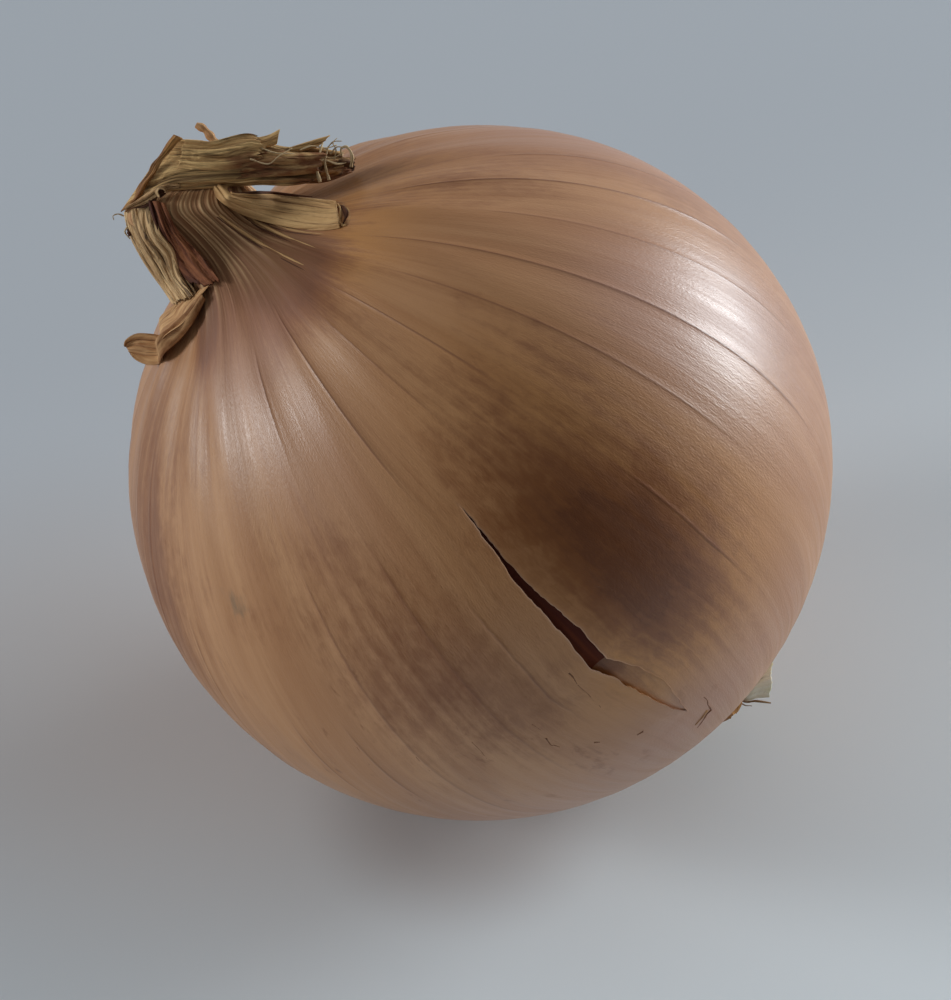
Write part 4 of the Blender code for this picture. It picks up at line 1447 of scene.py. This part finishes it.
neckRidges = {
    "fibres": [
        (onSkin((207, 198, -0.08), (219, 215, -0.06), (262, 244, -0.05), (310, 268, -0.08)),
         0.05, 0.16, 0.15, 0.03),
        (onSkin((228, 197, -0.08), (253, 220, -0.06), (290, 238, -0.05), (329, 253, -0.08)),
         0.05, 0.16, 0.15, 0.03),
        (onSkin((262, 219, -0.08), (285, 228, -0.05), (312, 233, -0.05), (345, 236, -0.08)),
         0.03, 0.13, 0.12, 0.03),
        (onSkin((243, 205, 0.0), (250, 210, 0.1), (252, 217, 0.1), (258, 224, -0.05)),
         0.05, 0.16, 0.14, 0.04),
        (onSkin((334, 203, 0.1), (340, 208, 0.15), (341, 215, 0.15), (340, 221, 0.15), (343, 226, 0.15),
                (347, 225, 0.05)), 0.05, 0.14, 0.12, 0.16, 0.1),
        (onSkin((339, 203, -0.03), (347, 208, -0.03), (350, 215, -0.03), (348, 223, -0.03)),
         0.04, 0.09, 0.04),
    ],
    "finish": "tongueLeaf", "slot": "papery_skin", "tint": -0.2,
}
# dark lines and spots painted for the shade in the furrows between the pleats, in small holes and in the
# gap under the band
neckShadeLines = {
    "fibres": [
        (onSkin((206, 200, -0.04), (217, 217, -0.02), (260, 247, -0.02), (308, 272, -0.04)),
         0.03, 0.09, 0.07, 0.02),
        (onSkin((228, 200, -0.04), (252, 223, -0.02), (288, 241, -0.02), (328, 256, -0.04)),
         0.03, 0.09, 0.07, 0.02),
        (onSkin((262, 222, -0.02), (284, 231, -0.02), (312, 235, -0.02), (344, 238, -0.04)),
         0.02, 0.07, 0.02),
        (onSkin((338, 204, 0.03), (344, 209, 0.03), (346.5, 215, 0.03), (345, 220, 0.03),
                (343, 224, 0.03)), 0.03, 0.14, 0.26, 0.2, 0.05),
        (air((160, 189, 23.9), (161, 193, 23.9), (163, 196, 23.9)), 0.42, 0.34),
        (air((129, 229, 20.0), (129, 233, 20.0), (130, 236, 19.9)), 0.22, 0.16),
        (air((133, 207, 22.9), (141, 207, 23.1), (149, 204, 23.3), (155, 199, 23.5)), 0.1, 0.2),
        # painted shade in the gap under the band, along the tongue's edge
        (air((226, 187, 22.6))
         + onSkin((244, 196, 1.9), (268, 203, 1.8), (292, 204.5, 1.35), (315, 204.5, 0.85)),
         0.1, 0.2, 0.2, 0.16, 0.05),
    ],
    "finish": "paintedShadeMark", "tint": -0.2,
}
orangeStub = {
    "fibres": [
        (air((219, 147, 23.6), (211, 137, 23.2), (204, 129, 23.0), (196, 125, 22.9)), 0.46, 0.36),
    ],
    "finish": "curledSkin", "tint": 0.25,
}


def makeNeck():
    makeBundle("fold_band", foldBand)
    for name, look in neckSheets.items():
        makeSheet(name, look)
    makeFibres("neck_fibres", neckFibres)
    makeFibres("orange_stub", orangeStub)
    makeFibres("neck_ridges", neckRidges)
    makeFibres("neck_shade_lines", neckShadeLines)


# Dark lines painted for the shade in small cracks and under a lifted edge of the skin, and that edge's rim

skinShadeMarks = {
    "fibres": [
        (onSkin((704, 697, 0.0), (707, 700, 0.0), (708, 705, 0.0), (711, 709, 0.0)), 0.05, 0.1),
        (onSkin((711, 709, 0.0), (706, 715, 0.0), (703, 720, 0.0), (697, 728, 0.0)), 0.14, 0.04),
        (onSkin((569, 673, 0.0), (573, 677, 0.0), (577, 684, 0.0)), 0.1, 0.03),
        (onSkin((578, 685, -0.01), (588, 694, -0.01), (594, 701, -0.01)), 0.07, 0.03),
        (onSkin((599, 705, -0.01), (605, 713, -0.01)), 0.06, 0.03),
        (onSkin((594, 742, 0.0), (600, 742, 0.0)), 0.12, 0.05),
        (onSkin((637, 735, 0.0), (643, 731, 0.0)), 0.06, 0.12),
        (onSkin((546, 738, 0.0), (551, 745, 0.0), (554, 745, 0.0), (560, 747, 0.0)), 0.09, 0.04),
        (onSkin((532, 724, -0.01), (541, 730, -0.01)), 0.06, 0.03),
        (onSkin((472, 742, -0.01), (481, 751, -0.01), (487, 759, -0.01)), 0.07, 0.03),
        (onSkin((416, 757, -0.01), (430, 771, -0.01)), 0.06, 0.03),
        (onSkin((357, 747, -0.01), (370, 765, -0.01)), 0.06, 0.03),
    ],
    "finish": "paintedShadeMark", "slot": "papery_skin", "tint": 0.75, "flat": 0.35,
}
markRims = {
    "fibres": [
        (onSkin((707, 710, 0.02), (702, 717, 0.02), (695, 725, 0.02)), 0.14, 0.06),
    ],
    "finish": "curledSkin", "slot": "papery_skin", "tint": -0.2, "flat": 0.5,
}


def makeMarks():
    makeFibres("skin_shade_marks", skinShadeMarks)
    makeFibres("mark_rims", markRims)


# Root end: a wrinkled disc, dried rootlets, and the scrap and brown bit that show past the skin

root = {
    # distance from the axis and height, from the rim inwards
    "profile": [(7.7, -36.75), (6.9, -36.8), (6.2, -37.0), (5.5, -37.5), (4.6, -37.95), (3.2, -38.2),
                (1.6, -38.25), (0.5, -38.1)],
    "rows": 26,
    "columns": 110,
    "wrinkle": 0.22,
    "tint": 0.45,
    "rootlets": 64,
    "turnEach": 2.39996,      # radians from one to the next, which spreads them evenly
    "rootletsFrom": -37.4,
    "ringRadius": (1.0, 5.4),
    "length": (2.0, 4.4),
    "thickness": (0.20, 0.08),
    "spread": 1.5,
    "curl": 1.1,
    "seed": 31,
}
rootSheets = {
    "root_scrap": {
        "low": ([(4.2, -1.0, -37.6), (4.6, -1.0, -40.4)]
                + air((744, 700, -15.0), (758, 698, -15.3), (772, 697, -15.6))),
        "high": ([(6.0, 3.0, -37.3), (6.4, 3.4, -39.0)]
                 + air((752, 672, -15.2), (764, 664, -15.5), (774, 658, -15.8))),
        "bulge": 0.5, "cup": 0.2, "folds": (1.2, 0.15), "creases": 6, "creaseDepth": 0.08, "torn": 0.05,
        "thickness": 0.2, "seed": 41, "rows": 60, "columns": 26, "finish": "creamScrap",
        "slot": "dried_root", "tint": -1.7, "tintEnd": 2.1, "tintUnder": 0.1,
    },
    "root_brown_bit": {
        "low": [(1.5, -4.0, -37.7), (2.6, -4.6, -40.2)] + air((717, 722, -13.6), (726, 721, -14.0)),
        "high": [(4.6, -1.4, -37.6), (5.0, -1.6, -40.0)] + air((742, 700, -14.2), (738, 712, -14.4)),
        "bulge": 0.7, "folds": (1.6, 0.2), "creases": 8, "creaseDepth": 0.15, "torn": 0.08, "seed": 43,
        "rows": 50, "columns": 24, "finish": "edgeLeaf", "slot": "dried_root", "tint": -0.1,
    },
}
rootFibres = {
    "fibres": [
        ([(4.8, -2.0, -38.2)] + air((742, 700, -14.6), (756, 701, -14.8), (771, 703, -15.0)), 0.2, 0.1),
        ([(4.4, -2.6, -38.2)] + air((741, 703, -14.8), (752, 706, -15.0)), 0.12, 0.05),
    ],
    "finish": "rootFibre", "slot": "dried_root", "tint": 0.7,
}


def makeRootDisc():
    draw = np.random.default_rng(root["seed"])
    turn = np.linspace(0, 2 * pi, root["columns"], endpoint=False)[None, :]
    step = np.linspace(0, 1, root["rows"])
    marks = np.linspace(0, 1, len(root["profile"]))
    radius, height = [np.interp(step, marks, values)[:, None] for values in zip(*root["profile"])]
    rough = np.zeros((root["rows"], root["columns"]))
    for count in (7, 11, 16, 23, 31, 44):
        phase = draw.uniform(0, 6)
        rough += np.cos(count * turn + phase + draw.uniform(-3, 3) * step[:, None]) / count**0.6
    rough = root["wrinkle"] * rough * ease(0.12, 0.35, step)[:, None]
    points = np.stack([radius * np.cos(turn), radius * np.sin(turn), height - rough], axis=-1)
    grain = np.stack(np.broadcast_arrays(6 * np.cos(turn), 6 * np.sin(turn), radius), axis=-1)
    faces = gridFaces(root["rows"], root["columns"], roundTrip=True)
    faces.append(endFaces(root["rows"], root["columns"])[1])
    # painted shade in the valleys of the disc's wrinkles
    creaseShade = np.clip(rough / root["wrinkle"] * 0.3 - 0.2, 0, 0.7)
    addPiece("root_disc", points, faces, finishes["rootFibre"],
             {"grain": grain, "tint": np.full_like(creaseShade, root["tint"]), "creaseShade": creaseShade}, ["root_plate"])


def makeRootlets():
    draw = Random(root["seed"])
    inner, outer = root["ringRadius"]
    thick, thin = root["thickness"]
    fibres = []
    for index in range(root["rootlets"]):
        turn = index * root["turnEach"] + draw.uniform(-0.3, 0.3)
        ring = inner + (outer - inner) * (index / root["rootlets"]) ** 0.6
        lean = root["spread"] * ring / outer * draw.uniform(0.4, 1.0)
        length = draw.uniform(*root["length"])
        out = np.array([cos(turn) * lean, sin(turn) * lean, -1.0])
        out /= np.linalg.norm(out)
        start = np.array([ring * cos(turn), ring * sin(turn), root["rootletsFrom"]])
        side = [draw.uniform(-1, 1), draw.uniform(-1, 1), draw.uniform(-0.3, 0.6)]
        side = np.array(side) * root["curl"]
        grow = draw.uniform(0.7, 1.25)
        stops = [start, start + 0.5 * length * out + 0.2 * side, start + length * out + side]
        fibres.append((stops, thick * grow, thin * grow))
    makeFibres("rootlets", {"fibres": fibres, "rows": 12, "finish": "rootFibre", "slot": "dried_root",
                            "tint": 0.1})


def makeRoot():
    makeRootDisc()
    makeRootlets()
    for name, look in rootSheets.items():
        makeSheet(name, look)
    makeFibres("root_fibres", rootFibres)


addCamera()
addRoom()
addTable()
print("camera, light and table are in place")

finishes = {name: makeLeafFinish(name) for name in leafFinishes}
paperySkin = makeSkinFinish()
skinTree = makeOuterSkin(paperySkin)
print("outer skin made")
makeInnerScale(makeScaleFinish())
print("inner scale made")
makeWedge(paperySkin)
makeNeck()
print("neck leaves made")
makeMarks()
makeRoot()
print("marks and root made")
